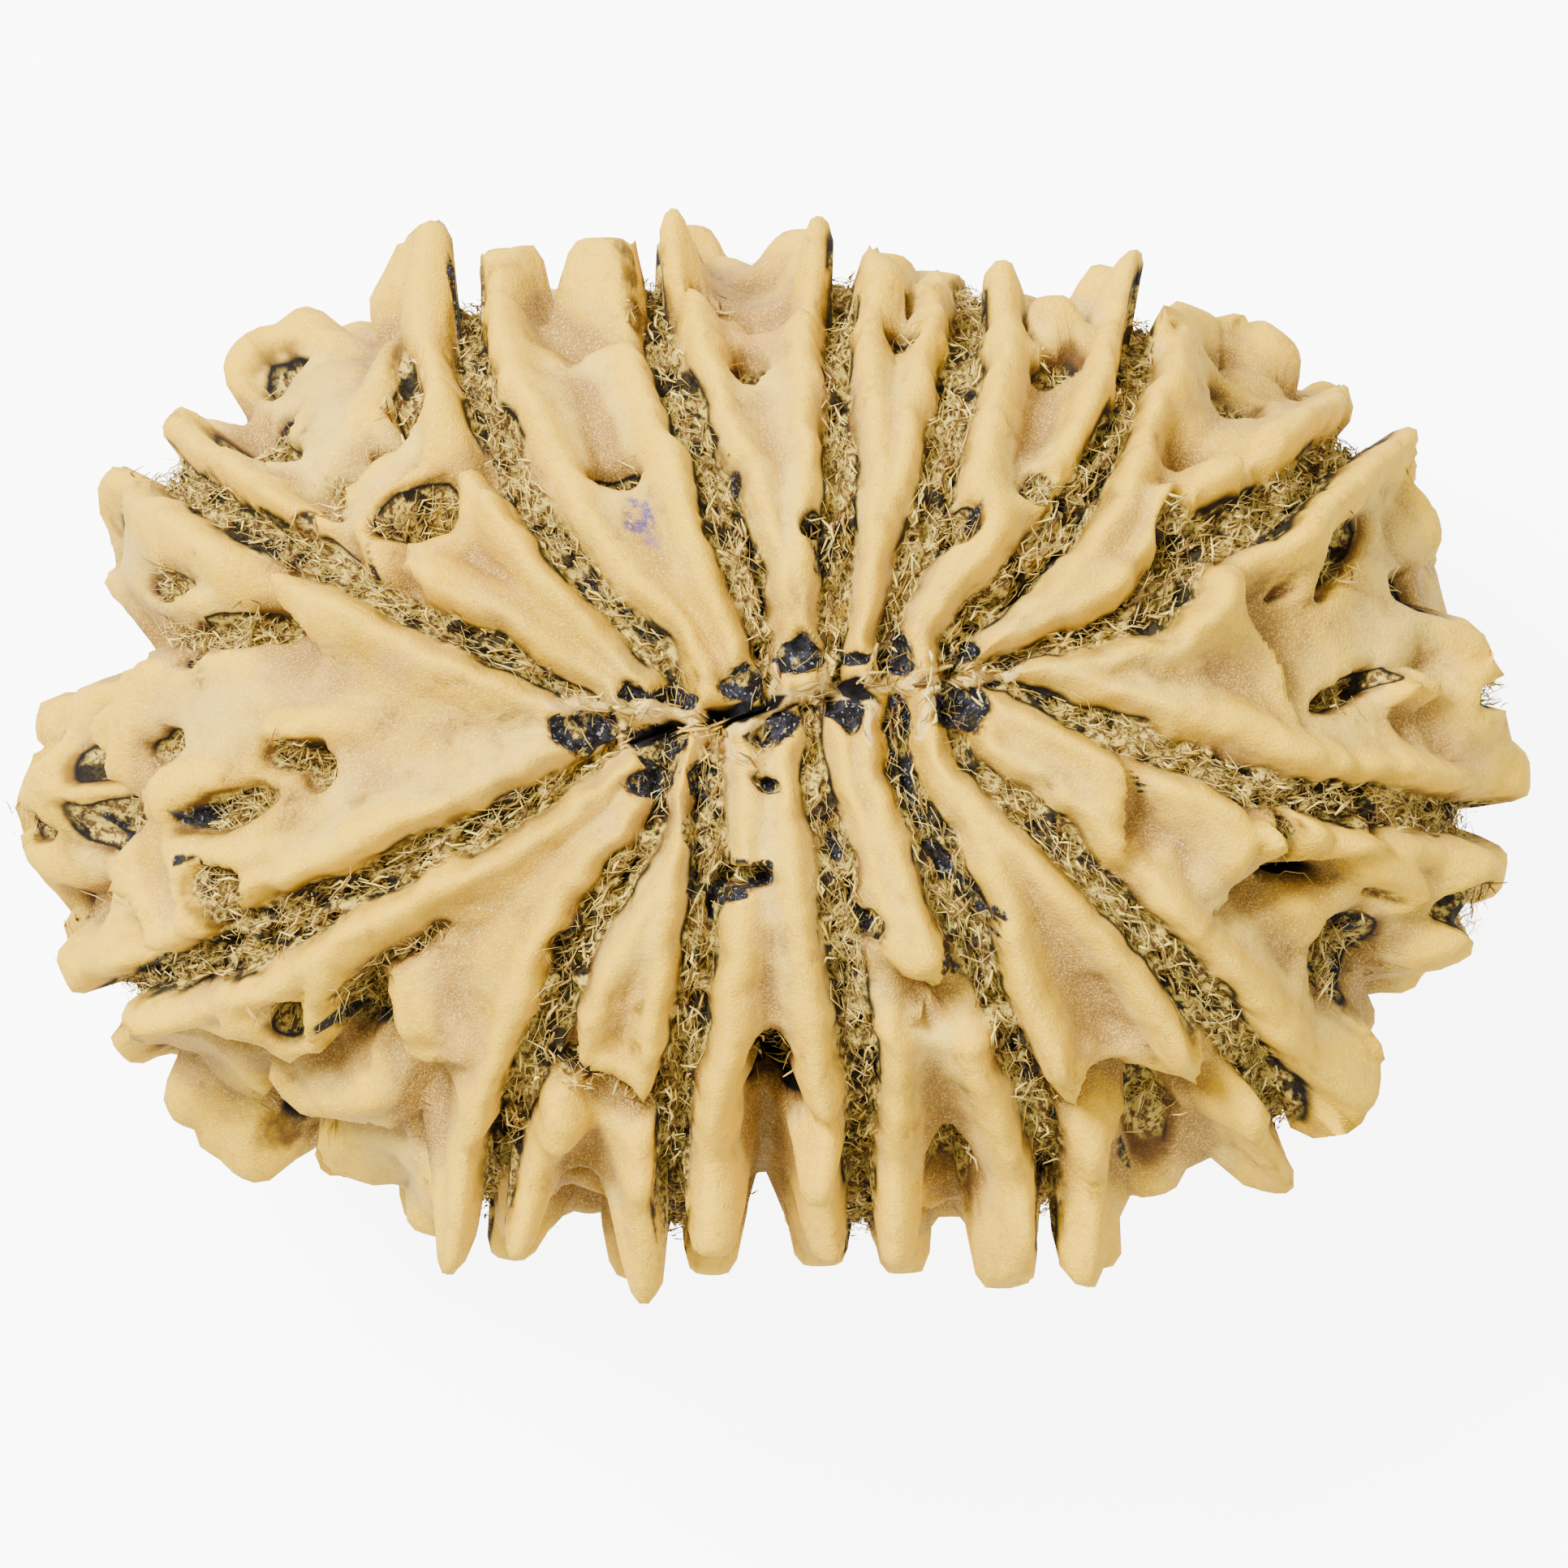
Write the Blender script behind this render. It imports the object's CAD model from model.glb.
# A rudraksha bead of fourteen faces, seen from its upper pole.
import math

import bmesh
import bpy
import numpy as np
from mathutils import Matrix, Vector, noise


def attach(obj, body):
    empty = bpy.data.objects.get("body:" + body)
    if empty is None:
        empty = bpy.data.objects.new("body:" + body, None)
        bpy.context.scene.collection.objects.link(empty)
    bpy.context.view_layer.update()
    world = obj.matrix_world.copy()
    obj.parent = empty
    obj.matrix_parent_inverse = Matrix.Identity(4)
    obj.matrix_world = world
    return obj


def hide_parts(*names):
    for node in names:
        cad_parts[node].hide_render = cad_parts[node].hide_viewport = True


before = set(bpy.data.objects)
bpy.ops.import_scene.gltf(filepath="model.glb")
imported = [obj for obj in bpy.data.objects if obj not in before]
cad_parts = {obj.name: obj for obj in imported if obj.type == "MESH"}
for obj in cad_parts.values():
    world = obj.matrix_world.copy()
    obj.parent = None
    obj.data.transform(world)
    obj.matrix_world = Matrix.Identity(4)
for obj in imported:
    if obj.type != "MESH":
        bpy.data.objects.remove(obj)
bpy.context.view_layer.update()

mm = 0.001
print("frame loaded")

# The form of the bead, in millimetres: what a user would change.
beadForm = {
    "halfLength": 13.9, "halfWidth": 9.5, "halfHeight": 9.5, "squareness": 2.4,
    "seamEnds": [[-3.0, 0.35], [4.3, 1.75]], "seamDip": 0.8, "seamReach": 2.4,
    "furrowDepth": 0.95, "furrowShoulder": 0.4, "furrowSeen": 3.0, "furrowSteps": 20, "stretchFrom": 0.35,
    "rimHeight": 0.42, "rimInset": 0.45, "rimReach": 0.5,
    "dishDepth": 0.35, "dishFrom": 0.8, "dishOver": 1.0,   # how the middle of a lobe lies below its rims
    "ridgeSpread": 1.25, "foldSpread": 1.35,
    "cliffFace": 0.2, "cliffLip": 0.35, "cliffDeeper": 1.3, "lipInset": 0.4, "lipReach": 0.45,
    "spineSpread": 1.1, "spineNarrowing": 0.4, "spineClearance": 1.3,
    "dentDepth": 0.7,                       # pits no deeper than this are shallow brown dents
    "scarDepth": 0.5, "paperLift": 0.15, "slitDepth": 0.6, "gapDepth": 0.25, "restDepth": 0.6,
    "slide": 1.2,                           # how far raised ground moves sideways as seen from above
    "columns": 440, "upperRows": 130, "lowerRows": 86, "columnCrowding": 0.35,
    "noiseSeed": 3,
    "warp": 0.16, "warpSize": 1.3, "fineWarp": 0.35,   # how far the forms wander off their plain outlines
    "ragged": 0.13, "raggedSize": 0.7,      # how ragged the edges of the furrows are
    "swell": 0.1, "swellSize": 1.7,         # soft unevenness of the lobes
    "fret": 0.035, "fretSize": 0.35,        # fine unevenness
    "fray": 0.2, "fraySize": 0.45,          # how frayed the scars, skins, resin and stains are
    "reliefSteps": 24,                      # how wide the ground is that the relief is measured from
    # The matted pulp that half fills the furrows, and how much thinner it is where resin soaks it.
    "mat": 0.5, "matLump": 1.1, "matSize": 0.3, "matFrom": 0.8, "soak": 0.8, "soakSpread": 1.5,
}
noiseSteps = (7.1, 3.3, 5.7)

# The furrows, anticlockwise from the right: x, y and half width of each bend, from above.
furrows = [
  [[4.3, 1.8, .1], [5.2, 2.1, .12], [6.1, 2.35, .2], [6.9, 2.6, .25], [7.7, 3.0, .45], [8.0, 3.7, .4],
    [8.7, 4.35, .4], [9.6, 4.7, .45], [10.2, 5.2, .4], [10.8, 5.7, .35], [11.6, 6.3, .3]],
  [[3.5, 1.65, .1], [3.8, 2.6, .2], [4.4, 3.15, .3], [5.1, 3.7, .35], [5.6, 4.4, .4], [6.1, 5.1, .35],
    [6.6, 6.0, .3], [6.95, 6.9, .25], [7.2, 7.6, .3], [7.4, 8.6, .25]],
  [[2.3, 1.45, .08], [2.4, 2.7, .15], [2.75, 3.7, .25], [3.05, 4.5, .35], [3.3, 5.5, .35], [3.5, 6.4, .4],
    [3.7, 7.3, .35], [3.85, 8.2, .3], [3.95, 9.1, .3]],
  [[1.2, 1.3, .08], [1.25, 2.4, .15], [1.3, 3.4, .28], [1.3, 4.3, .3], [1.35, 5.3, .3], [1.4, 6.1, .25],
    [1.25, 7.1, .22], [1.3, 8.1, .22], [1.4, 9.2, .2]],
  [[0, 1.0, .08], [-.1, 2.3, .15], [-.45, 3.2, .3], [-.7, 4.1, .33], [-1.0, 5.1, .28], [-1.4, 6.2, .28],
    [-1.8, 7.1, .28], [-2.15, 8.1, .3], [-2.45, 9.2, .3]],
  [[-1.7, .75, .1], [-1.95, 1.8, .18], [-2.7, 2.6, .2], [-3.5, 3.35, .28], [-4.2, 4.2, .3],
    [-4.75, 5.1, .3], [-5.3, 6.2, .32], [-5.75, 7.3, .33], [-6.0, 8.1, .33], [-5.95, 9.0, .25]],
  [[-2.95, .42, .08], [-4.2, 1.35, .12], [-5.1, 1.9, .28], [-6.0, 2.35, .28], [-7.1, 2.8, .22],
    [-8.2, 3.5, .3], [-9.2, 3.95, .3], [-10.2, 4.5, .3], [-11.1, 5.1, .35], [-11.9, 5.6, .35]],
  [[-2.95, .3, .08], [-3.9, -.4, .15], [-4.9, -1.0, .28], [-6.0, -1.6, .28], [-7.2, -2.2, .3],
    [-8.4, -2.75, .32], [-9.4, -3.35, .5], [-10.3, -3.8, .4], [-11.3, -4.15, .3], [-12.2, -4.5, .3]],
  [[-2.1, .4, .08], [-2.2, -1.4, .12], [-2.85, -2.3, .3], [-3.4, -3.1, .33], [-3.95, -4.2, .33],
    [-4.3, -5.3, .33], [-4.75, -6.5, .28], [-5.1, -7.5, .28], [-5.6, -8.6, .28]],
  [[-1.0, .7, .1], [-1.25, -.6, .25], [-1.15, -1.5, .25], [-1.25, -2.5, .3], [-1.35, -3.6, .3],
    [-1.5, -4.8, .3], [-1.65, -5.9, .28], [-1.85, -7.2, .28], [-1.8, -8.9, .26]],
  [[.8, 1.1, .08], [.8, -.1, .15], [1.0, -1.1, .25], [1.2, -2.1, .33], [1.45, -3.3, .45], [1.55, -4.4, .35],
    [1.7, -5.6, .32], [1.7, -6.8, .28], [1.7, -7.9, .26], [1.65, -8.9, .22]],
  [[2.5, 1.35, .1], [2.5, 0, .25], [2.85, -1.0, .32], [3.35, -2.0, .4], [3.7, -3.2, .48], [4.1, -4.2, .25],
    [4.5, -5.3, .25], [4.95, -6.3, .28], [5.3, -7.3, .25], [5.5, -8.9, .22]],
  [[3.6, 1.45, .1], [3.8, -.1, .1], [4.7, -.8, .3], [5.6, -1.6, .38], [6.4, -2.5, .3], [7.2, -3.3, .28],
    [8.1, -4.4, .35], [8.9, -5.3, .38], [9.7, -6.4, .38], [10.2, -7.2, .3]],
  [[4.3, 1.7, .08], [5.5, 1.1, .12], [6.6, .6, .22], [7.5, .15, .3], [8.5, -.15, .28], [9.4, -.75, .35],
    [10.4, -.75, .3], [11.5, -.95, .35], [12.5, -1.15, .35], [13.6, -1.25, .3]],
]

# The lobes, each after the furrow of its number. Ridges, folds and cliffs: reach, then x, y and height at
# each bend. A cliff has its low side on the left. Pits: x, y, half length, half width, degrees, depth.
# Spines: root, tip, reach and rise.
lobes = [
  {"columns": 12,     # upper right
    "cliffs": [[1.2, [7.4, 5.85, .1], [8.2, 5.75, .6], [8.75, 5.4, .75], [9.0, 4.9, .7], [8.8, 4.3, .3]]],
    "ridges": [[.6, [4.9, 2.6, .2], [5.9, 3.2, .45], [6.8, 3.45, .7]],
      [.5, [6.5, 4.2, .35], [7.0, 5.2, .45], [7.3, 6.2, .35], [7.6, 7.0, .3]],
      [.55, [7.3, 5.0, .4], [8.0, 5.15, .95], [8.35, 4.9, 1.05], [8.3, 4.4, 1.0]],
      [.7, [9.0, 5.5, 1.05], [9.6, 5.6, 1.1]],
      [.5, [10.0, 6.1, .55], [10.8, 6.45, .6], [11.4, 6.9, .6]]],
    "folds": [[.3, [7.5, 5.9, .25], [8.2, 5.55, .4], [8.75, 5.5, .6], [8.8, 4.9, .7]]],
    "pits": [[7.65, 4.15, .6, .33, 85, .9], [9.3, 7.1, .55, .4, -30, .72]],
    "spines": [[7.9, 8.2, 7.75, 8.85, .6, 0], [9.7, 7.9, 10.05, 8.5, 1.0, 0], [11.1, 6.7, 11.7, 7.0, .8, 0],
      [11.9, 5.9, 12.5, 6.4, .8, -.4]]},
  {"columns": 8,      # right of the top
    "cliffs": [[.8, [4.5, 9.1, .1], [5.2, 8.6, .4], [6.2, 8.7, .4], [6.9, 8.9, .1]]],
    "ridges": [[.6, [2.9, 2.9, .3], [3.8, 3.4, .6], [4.4, 4.1, .85], [4.45, 4.9, .85], [4.1, 5.6, .75],
      [4.3, 6.6, .55], [4.5, 7.6, .55], [4.4, 8.7, .7]],
      [.55, [5.65, 5.35, .75], [6.15, 6.1, .6], [6.5, 7.0, .55], [6.8, 7.9, .65], [6.95, 8.5, .7]],
      [.45, [5.3, 7.9, .3], [5.9, 7.95, .35], [6.3, 7.8, .2]]],
    "folds": [[.5, [5.3, 5.6, .3], [5.3, 6.4, .35], [5.3, 7.1, .3]]],
    "pits": [[3.6, 4.25, .42, .34, 0, .95], [5.15, 4.95, .38, .32, 40, .8], [5.55, 7.35, .5, .2, 10, .9],
      [6.15, 8.45, .42, .2, 45, .9], [4.95, 8.1, .2, .12, 90, .5]],
    "spines": [[4.35, 8.5, 4.25, 9.75, .65, .2], [5.6, 8.2, 5.5, 9.05, .6, 0],
      [7.0, 8.2, 7.4, 9.95, .75, .3]]},
  {"columns": 6,      # top, the narrowest lobe
    "cliffs": [],
    "ridges": [[.45, [1.85, 3.0, .2], [2.0, 4.2, .4], [2.05, 5.6, .4], [2.1, 7.0, .5], [1.85, 8.0, .5],
      [1.95, 8.8, .5]],
      [.4, [2.35, 4.4, .3], [2.7, 5.6, .35], [3.05, 6.8, .4], [3.2, 7.9, .5], [3.4, 8.7, .4]]],
    "folds": [],
    "pits": [[2.6, 7.85, .32, .2, 0, .8], [2.5, 8.5, .2, .28, 0, .7]],
    "spines": [[2.05, 8.6, 2.15, 9.7, .55, .2], [3.0, 8.7, 3.0, 9.3, .4, 0]]},
  {"columns": 10,     # top
    "cliffs": [[1.0, [-2.0, 8.5, .2], [-1.3, 8.65, .45], [-.6, 8.5, .45], [.3, 8.3, .2]]],
    "ridges": [[.5, [-.15, 5.0, .3], [-.7, 5.9, .45], [-1.1, 6.8, .45], [-1.35, 7.6, .6], [-1.3, 8.15, .75]],
      [.5, [.5, 2.9, .2], [.45, 3.7, .5], [.75, 4.9, .35], [.95, 6.1, .55], [.75, 7.2, .4], [.8, 8.3, .6],
        [1.0, 9.0, .5]],
      [.45, [-1.85, 9.1, .6], [-1.2, 9.0, .5], [-.5, 8.8, .35]]],
    "folds": [[.4, [-.9, 8.8, .2], [0, 8.5, .35], [.4, 8.7, .3]]],
    "pits": [[-.4, 7.4, .38, .4, 0, .95], [-1.35, 8.55, .5, .2, -10, .8], [.78, 4.3, .28, .2, 60, .8],
      [-1.3, 9.55, .25, .1, -40, .4]],
    "spines": [[-2.0, 8.9, -2.25, 10.8, .75, .3], [1.0, 8.8, 1.15, 10.6, .65, .3]]},
  {"columns": 8,      # left of the top, the broad smooth lobe
    "cliffs": [[.7, [-4.1, 7.6, .1], [-3.3, 7.9, .3], [-2.6, 7.8, .2]]],
    "ridges": [[.6, [-2.5, 2.6, .15], [-3.4, 3.8, .35], [-4.1, 4.8, .45], [-4.6, 5.9, .5], [-4.95, 7.0, .5],
      [-5.2, 7.8, .5], [-5.35, 8.5, .7]],
      [.6, [-1.3, 2.9, .1], [-1.35, 4.1, .45], [-1.6, 5.1, .5], [-2.05, 6.0, .45], [-2.45, 6.9, .4],
        [-2.7, 7.6, .45]],
      [.45, [-4.3, 7.9, .3], [-3.5, 7.85, .25], [-2.8, 7.75, .35]]],
    "folds": [[.7, [-3.3, 6.8, .15], [-3.1, 6.1, .4], [-3.0, 5.6, .5]], [.5, [-4.1, 8.6, .35],
      [-3.5, 8.4, .4]]],
    "pits": [[-3.0, 5.35, .5, .36, 8, .95]],
    "spines": [[-5.2, 8.7, -5.4, 9.8, .6, 0], [-4.8, 8.9, -4.9, 10.1, .45, -.3],
      [-3.4, 8.7, -3.4, 10.2, .95, 0]]},
  {"columns": 14,     # upper left
    "cliffs": [[1.3, [-6.6, 3.0, .2], [-6.95, 3.5, .8], [-6.9, 3.9, .8], [-6.1, 4.5, .8], [-5.95, 5.2, .9],
      [-5.5, 5.45, 1.0], [-5.0, 5.0, .6], [-4.6, 4.4, .1]],
      [1.0, [-8.3, 3.9, .2], [-8.45, 4.8, .6], [-8.1, 5.6, .6], [-7.2, 6.2, .5], [-6.95, 7.0, .3]],
      [.8, [-11.2, 5.6, .2], [-10.2, 5.4, .4], [-9.2, 5.3, .2]]],
    "ridges": [[.6, [-2.5, 2.0, .1], [-3.4, 2.7, .35], [-4.3, 3.4, .5], [-4.8, 4.3, .8], [-5.3, 5.0, 1.1]],
      [.6, [-3.2, 1.6, .1], [-4.6, 2.3, .4], [-5.8, 3.0, .65], [-6.6, 3.45, .95]],
      [.58, [-7.9, 4.2, 1.25], [-7.85, 4.8, 1.2], [-7.4, 5.35, 1.1], [-6.7, 5.95, 1.15], [-6.4, 6.6, 1.25],
        [-6.4, 7.05, 1.25]],
      [.6, [-8.1, 7.2, .3], [-7.6, 7.9, .45], [-6.9, 8.2, .65]],
      [.5, [-11.3, 6.1, .7], [-10.6, 5.5, .7], [-9.9, 4.95, .9]], [.65, [-9.7, 4.85, 1.15],
      [-9.3, 4.75, 1.1]], [.6, [-10.3, 7.4, .3], [-9.6, 7.9, .4], [-8.6, 7.8, .2]]],
    "folds": [[.4, [-8.2, 4.0, .5], [-8.55, 4.8, .6], [-8.4, 5.6, .5], [-7.9, 6.1, .6]],
      [.35, [-5.7, 5.7, .4], [-6.0, 5.6, .4]]],
    "pits": [[-6.8, 4.55, 1.0, .42, 35, .9], [-7.15, 6.95, .7, .28, 80, .8], [-7.6, 6.05, .4, .16, 10, .7],
      [-9.7, 6.8, .45, .26, 75, .9], [-10.1, 6.15, .8, .32, -5, .85], [-5.75, 8.9, .3, .2, 80, .5]],
    "spines": [[-6.8, 8.5, -7.4, 9.6, .9, 0], [-6.4, 8.4, -6.4, 10.6, .9, .2],
      [-10.2, 7.7, -10.7, 8.1, .8, -.3], [-9.3, 8.2, -9.6, 8.7, .9, -.2],
      [-11.3, 6.1, -11.9, 6.7, .6, 0]]},
  {"columns": 18,     # left end
    "cliffs": [[1.5, [-8.8, 2.1, .1], [-9.2, 2.4, .6], [-9.45, 2.8, .9], [-9.3, 3.35, 1.0], [-8.7, 3.5, .3]],
      [1.3, [-12.9, -.9, .3], [-13.3, -.4, .9], [-13.4, .2, 1.1], [-13.35, .8, 1.0], [-12.9, 1.5, .4]],
      [1.0, [-11.0, -4.2, .3], [-11.7, -3.9, .9], [-12.1, -3.3, 1.0], [-12.8, -2.7, 1.0],
        [-13.1, -2.1, 1.0], [-12.8, -1.5, .6], [-12.6, -.9, .4]]],
    "ridges": [[.7, [-4.8, 1.2, .15], [-6.0, 1.75, .4], [-7.1, 2.3, .55], [-8.1, 2.85, .75], [-8.9, 3.0, .9]],
      [.6, [-4.6, -.4, .1], [-5.9, -.9, .3], [-7.0, -1.2, .5], [-7.9, -1.6, .85], [-8.7, -2.2, .5],
        [-9.5, -2.65, .8]],
      [.5, [-8.2, .7, .3], [-9.2, .6, .6], [-9.95, .45, .75]],
      [.6, [-12.3, -.8, .6], [-11.6, -.6, .5]],
      [.6, [-12.2, -1.2, .4], [-12.0, -2.0, .6], [-11.4, -2.9, .7], [-11.3, -3.6, .9]],
      [.4, [-11.5, -1.85, .4], [-10.7, -1.85, .4], [-9.7, -1.9, .35]],
      [.6, [-12.8, 1.6, .3], [-13.1, .7, .35], [-13.1, -.5, .3]],
      [1.3, [-13.85, .5, .4], [-13.87, -.1, 1.1], [-13.87, -1.1, 1.5], [-13.8, -2.2, 1.3]],
      [.8, [-13.6, -3.1, .9], [-13.3, -3.7, .8], [-12.9, -4.2, .4]], [.4, [-13.1, -2.9, .6],
      [-12.8, -3.5, .6]], [.5, [-9.9, 3.5, .8], [-10.7, 3.9, .6], [-11.6, 4.4, .5], [-12.3, 4.7, .4]],
      [.5, [-12.4, 3.6, .4], [-11.7, 2.85, .4]]],
    "folds": [[.4, [-14.3, -2.7, .4], [-13.6, -2.85, .9], [-13.1, -2.95, .9]],
      [.7, [-13.5, 2.4, 1.4], [-12.6, 2.45, 1.0], [-11.6, 2.4, .6]]],
    "pits": [[-9.25, 0, .7, .34, 15, .9], [-8.75, -.3, .42, .34, 90, .9], [-10.6, -1.1, 1.1, .38, 18, .8],
      [-10.55, -2.5, .52, .38, -25, .9], [-10.3, -3.05, .4, .22, -70, .9], [-11.95, .05, .55, .34, 35, .9],
      [-13.4, -.1, .45, .3, 75, .75], [-13.3, -1.5, .7, .38, -60, .75], [-12.35, -3.1, .7, .26, -45, 1.0],
      [-11.85, 3.35, .75, .32, -5, .9], [-10.4, 2.5, 1.0, .4, 12, .9], [-11.5, 1.9, .4, .18, 15, .8]],
    "spines": [[-12.9, 4.7, -13.0, 4.7, 1.0, -.5]]},
  {"columns": 14,     # lower left
    "cliffs": [[1.3, [-5.3, -7.5, .2], [-5.8, -8.0, .9], [-6.15, -7.5, .9], [-6.3, -6.6, .9],
      [-6.6, -6.1, 1.0], [-7.2, -5.9, .9], [-7.5, -5.0, .3]],
      [1.3, [-8.7, -5.9, .5], [-9.4, -6.15, .8], [-10.0, -5.85, .8], [-10.7, -5.7, .7], [-11.5, -4.9, .4]],
      [.9, [-8.0, -7.5, .3], [-8.8, -7.4, .6], [-9.6, -7.2, .9], [-9.95, -6.8, .5]]],
    "ridges": [[.6, [-4.8, -1.7, .2], [-6.3, -2.35, .4], [-7.6, -2.95, .55], [-8.5, -3.55, .7],
      [-9.0, -4.1, .6]], [.45, [-9.6, -4.25, .5], [-10.7, -4.7, .7], [-10.6, -5.3, .6], [-9.9, -5.75, .5]],
      [.4, [-8.85, -4.5, .6], [-8.9, -5.2, .5], [-9.2, -5.9, .5]],
      [.6, [-4.65, -5.0, .4], [-5.0, -6.0, .5], [-5.4, -7.0, .6], [-5.75, -7.7, .8]],
      [.6, [-7.1, -4.4, .3], [-7.1, -5.5, .6], [-6.5, -5.9, .3]],
      [.5, [-9.7, -6.6, .4], [-9.1, -7.1, .5], [-8.2, -7.1, .4]]],
    "folds": [[.45, [-6.2, -6.1, .6], [-6.3, -7.0, .6], [-6.25, -7.8, .5]], [.4, [-6.5, -6.1, .7],
      [-7.2, -6.1, .8]], [.3, [-6.3, -3.4, .4], [-7.2, -3.8, .6], [-8.0, -4.2, .6]],
      [.6, [-5.6, -3.0, .15], [-6.1, -3.5, .2]]],
    "pits": [[-9.3, -4.95, .58, .36, -80, .9], [-8.0, -5.1, .95, .5, 75, .95], [-9.6, -7.3, .7, .3, -15, 1.0],
      [-9.9, -7.1, .35, .24, 80, .9], [-4.05, -3.65, .3, .26, 0, .8]],
    "spines": [[-6.2, -7.7, -6.4, -10.2, .75, .3], [-11.9, -4.9, -12.8, -5.2, .9, -.4],
      [-11.5, -6.6, -11.8, -7.2, .9, -.6], [-10.4, -7.6, -10.6, -8.3, 1.0, -.5],
      [-8.2, -8.2, -8.4, -8.4, 1.0, -.6]]},
  {"columns": 8,      # left of the bottom
    "cliffs": [[.8, [-2.0, -6.1, .4], [-2.3, -6.45, 1.0], [-3.0, -6.15, 1.0], [-3.6, -5.85, 1.0],
      [-3.85, -5.3, .4]], [.8, [-3.1, -8.7, .4], [-3.5, -8.15, .8], [-4.3, -8.2, .8], [-4.5, -8.7, .3]]],
    "ridges": [[.45, [-1.75, -1.6, .2], [-2.1, -2.8, .4], [-2.5, -3.8, .35]], [.5, [-2.2, -4.4, .3],
      [-2.25, -5.9, .5]], [.45, [-3.4, -4.6, .3], [-3.5, -5.3, .4]],
      [.5, [-4.0, -6.8, .6], [-4.1, -7.6, .8]], [.5, [-4.6, -7.6, .4], [-4.9, -8.4, .6]],
      [.5, [-2.5, -7.1, .4], [-2.35, -8.1, .8]]],
    "folds": [[.33, [-4.2, -6.05, .7], [-3.5, -6.2, .9], [-2.9, -6.6, .9], [-2.1, -6.65, .9]],
      [.6, [-3.7, -8.1, .5], [-3.2, -8.3, .6]]],
    "pits": [[-2.3, -6.7, .3, .22, 0, .9], [-4.05, -8.2, .35, .18, 0, .7]],
    "spines": [[-4.9, -7.9, -5.2, -9.95, .7, .2], [-2.35, -7.9, -2.4, -8.9, .55, .4],
      [-2.35, -8.4, -2.1, -10.8, .75, -.3]]},
  {"columns": 8,      # bottom
    "cliffs": [],
    "ridges": [[.5, [-.5, -3.2, .3], [-.75, -4.6, .45], [-.85, -5.9, .55], [-1.15, -7.2, .7],
      [-1.2, -8.1, .7]], [.5, [.25, -1.2, .2], [.4, -2.6, .4], [.6, -4.2, .45], [.9, -5.7, .6],
      [1.05, -7.0, .85]]],
    "folds": [[.5, [0, -5.6, .5], [0, -6.2, .9], [-.1, -7.2, 1.0], [-.1, -8.4, 1.0], [-.1, -9.0, .8]]],
    "pits": [[-.6, -2.35, .7, .25, 8, 1.0], [0, -5.85, .4, .42, 0, .95], [.05, -6.6, .5, .36, 0, 1.0]],
    "spines": [[-1.15, -7.9, -1.2, -9.85, .7, .2], [1.05, -7.4, 1.0, -8.8, .55, .6],
      [1.0, -8.4, 1.15, -10.0, .6, -.5]]},
  {"columns": 8,      # right of the bottom
    "cliffs": [[1.0, [3.5, -3.9, .2], [3.2, -4.5, .7], [2.7, -4.3, .6], [2.2, -3.8, .3]],
      [.6, [4.2, -9.2, .3], [3.3, -8.9, .6], [2.7, -9.2, .3]]],
    "ridges": [[.5, [2.2, -.4, .25], [2.6, -1.8, .4], [2.9, -3.0, .55], [3.0, -4.1, .8]],
      [.5, [2.35, -5.0, .3], [2.3, -6.6, .4], [2.3, -8.2, .55]],
      [.55, [3.9, -5.0, .3], [4.3, -6.2, .5], [4.75, -7.4, .65], [5.1, -8.6, .7]]],
    "folds": [[.5, [3.3, -6.6, .2], [3.4, -7.3, .4]], [.25, [4.1, -8.2, .5], [4.5, -8.8, .6]]],
    "pits": [[3.5, -7.9, .5, .4, 0, .9], [1.95, -3.25, .25, .35, 0, .8]],
    "spines": [[2.35, -8.2, 2.4, -10.1, .7, 0], [5.05, -8.2, 5.2, -10.0, .8, .2],
      [4.5, -8.5, 4.6, -10.6, .7, -.2]]},
  {"columns": 8,      # lower right, the two-pronged lobe
    "cliffs": [[1.1, [8.35, -5.6, .3], [8.25, -6.2, .8], [7.7, -6.4, .7], [7.2, -6.3, .7], [6.7, -5.95, .7],
      [6.25, -5.9, .8], [6.0, -6.3, .9], [5.7, -6.6, .9], [5.3, -6.4, .3]]],
    "ridges": [[.45, [3.5, .1, .3], [4.0, -.9, .4], [4.3, -2.2, .4], [4.7, -3.6, .45], [5.1, -4.8, .6],
      [5.6, -5.8, .9]], [.5, [4.7, -1.7, .4], [5.6, -2.6, .5], [6.5, -3.5, .55], [7.3, -4.5, .6],
      [7.9, -5.5, .85]], [.55, [5.95, -7.0, .4], [6.2, -8.0, .65], [6.2, -8.6, .6]],
      [.5, [8.4, -6.0, .4], [8.9, -6.6, .6], [9.4, -7.0, .7]]],
    "folds": [[.5, [6.4, -4.6, .2], [6.5, -5.4, .35]], [.4, [5.3, -6.5, .6], [5.8, -6.55, .8],
      [6.3, -6.1, .7]], [.4, [7.2, -6.2, .4], [8.2, -6.4, .5], [8.7, -6.2, .4]]],
    "pits": [[7.55, -7.15, .55, .48, 45, .72], [6.4, -6.1, .25, .2, 0, .6]],
    "spines": [[5.7, -5.7, 5.75, -6.5, .5, .2], [7.95, -5.5, 8.2, -6.2, .5, .2],
      [6.2, -8.2, 6.25, -10.5, .75, .2], [6.4, -8.6, 6.7, -10.1, .5, -.4],
      [7.6, -7.9, 7.6, -8.6, .9, -.5], [9.0, -6.7, 9.65, -7.5, .6, .3],
      [9.2, -7.2, 10.1, -8.6, .85, -.6]]},
  {"columns": 12,     # right, below the middle
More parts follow.
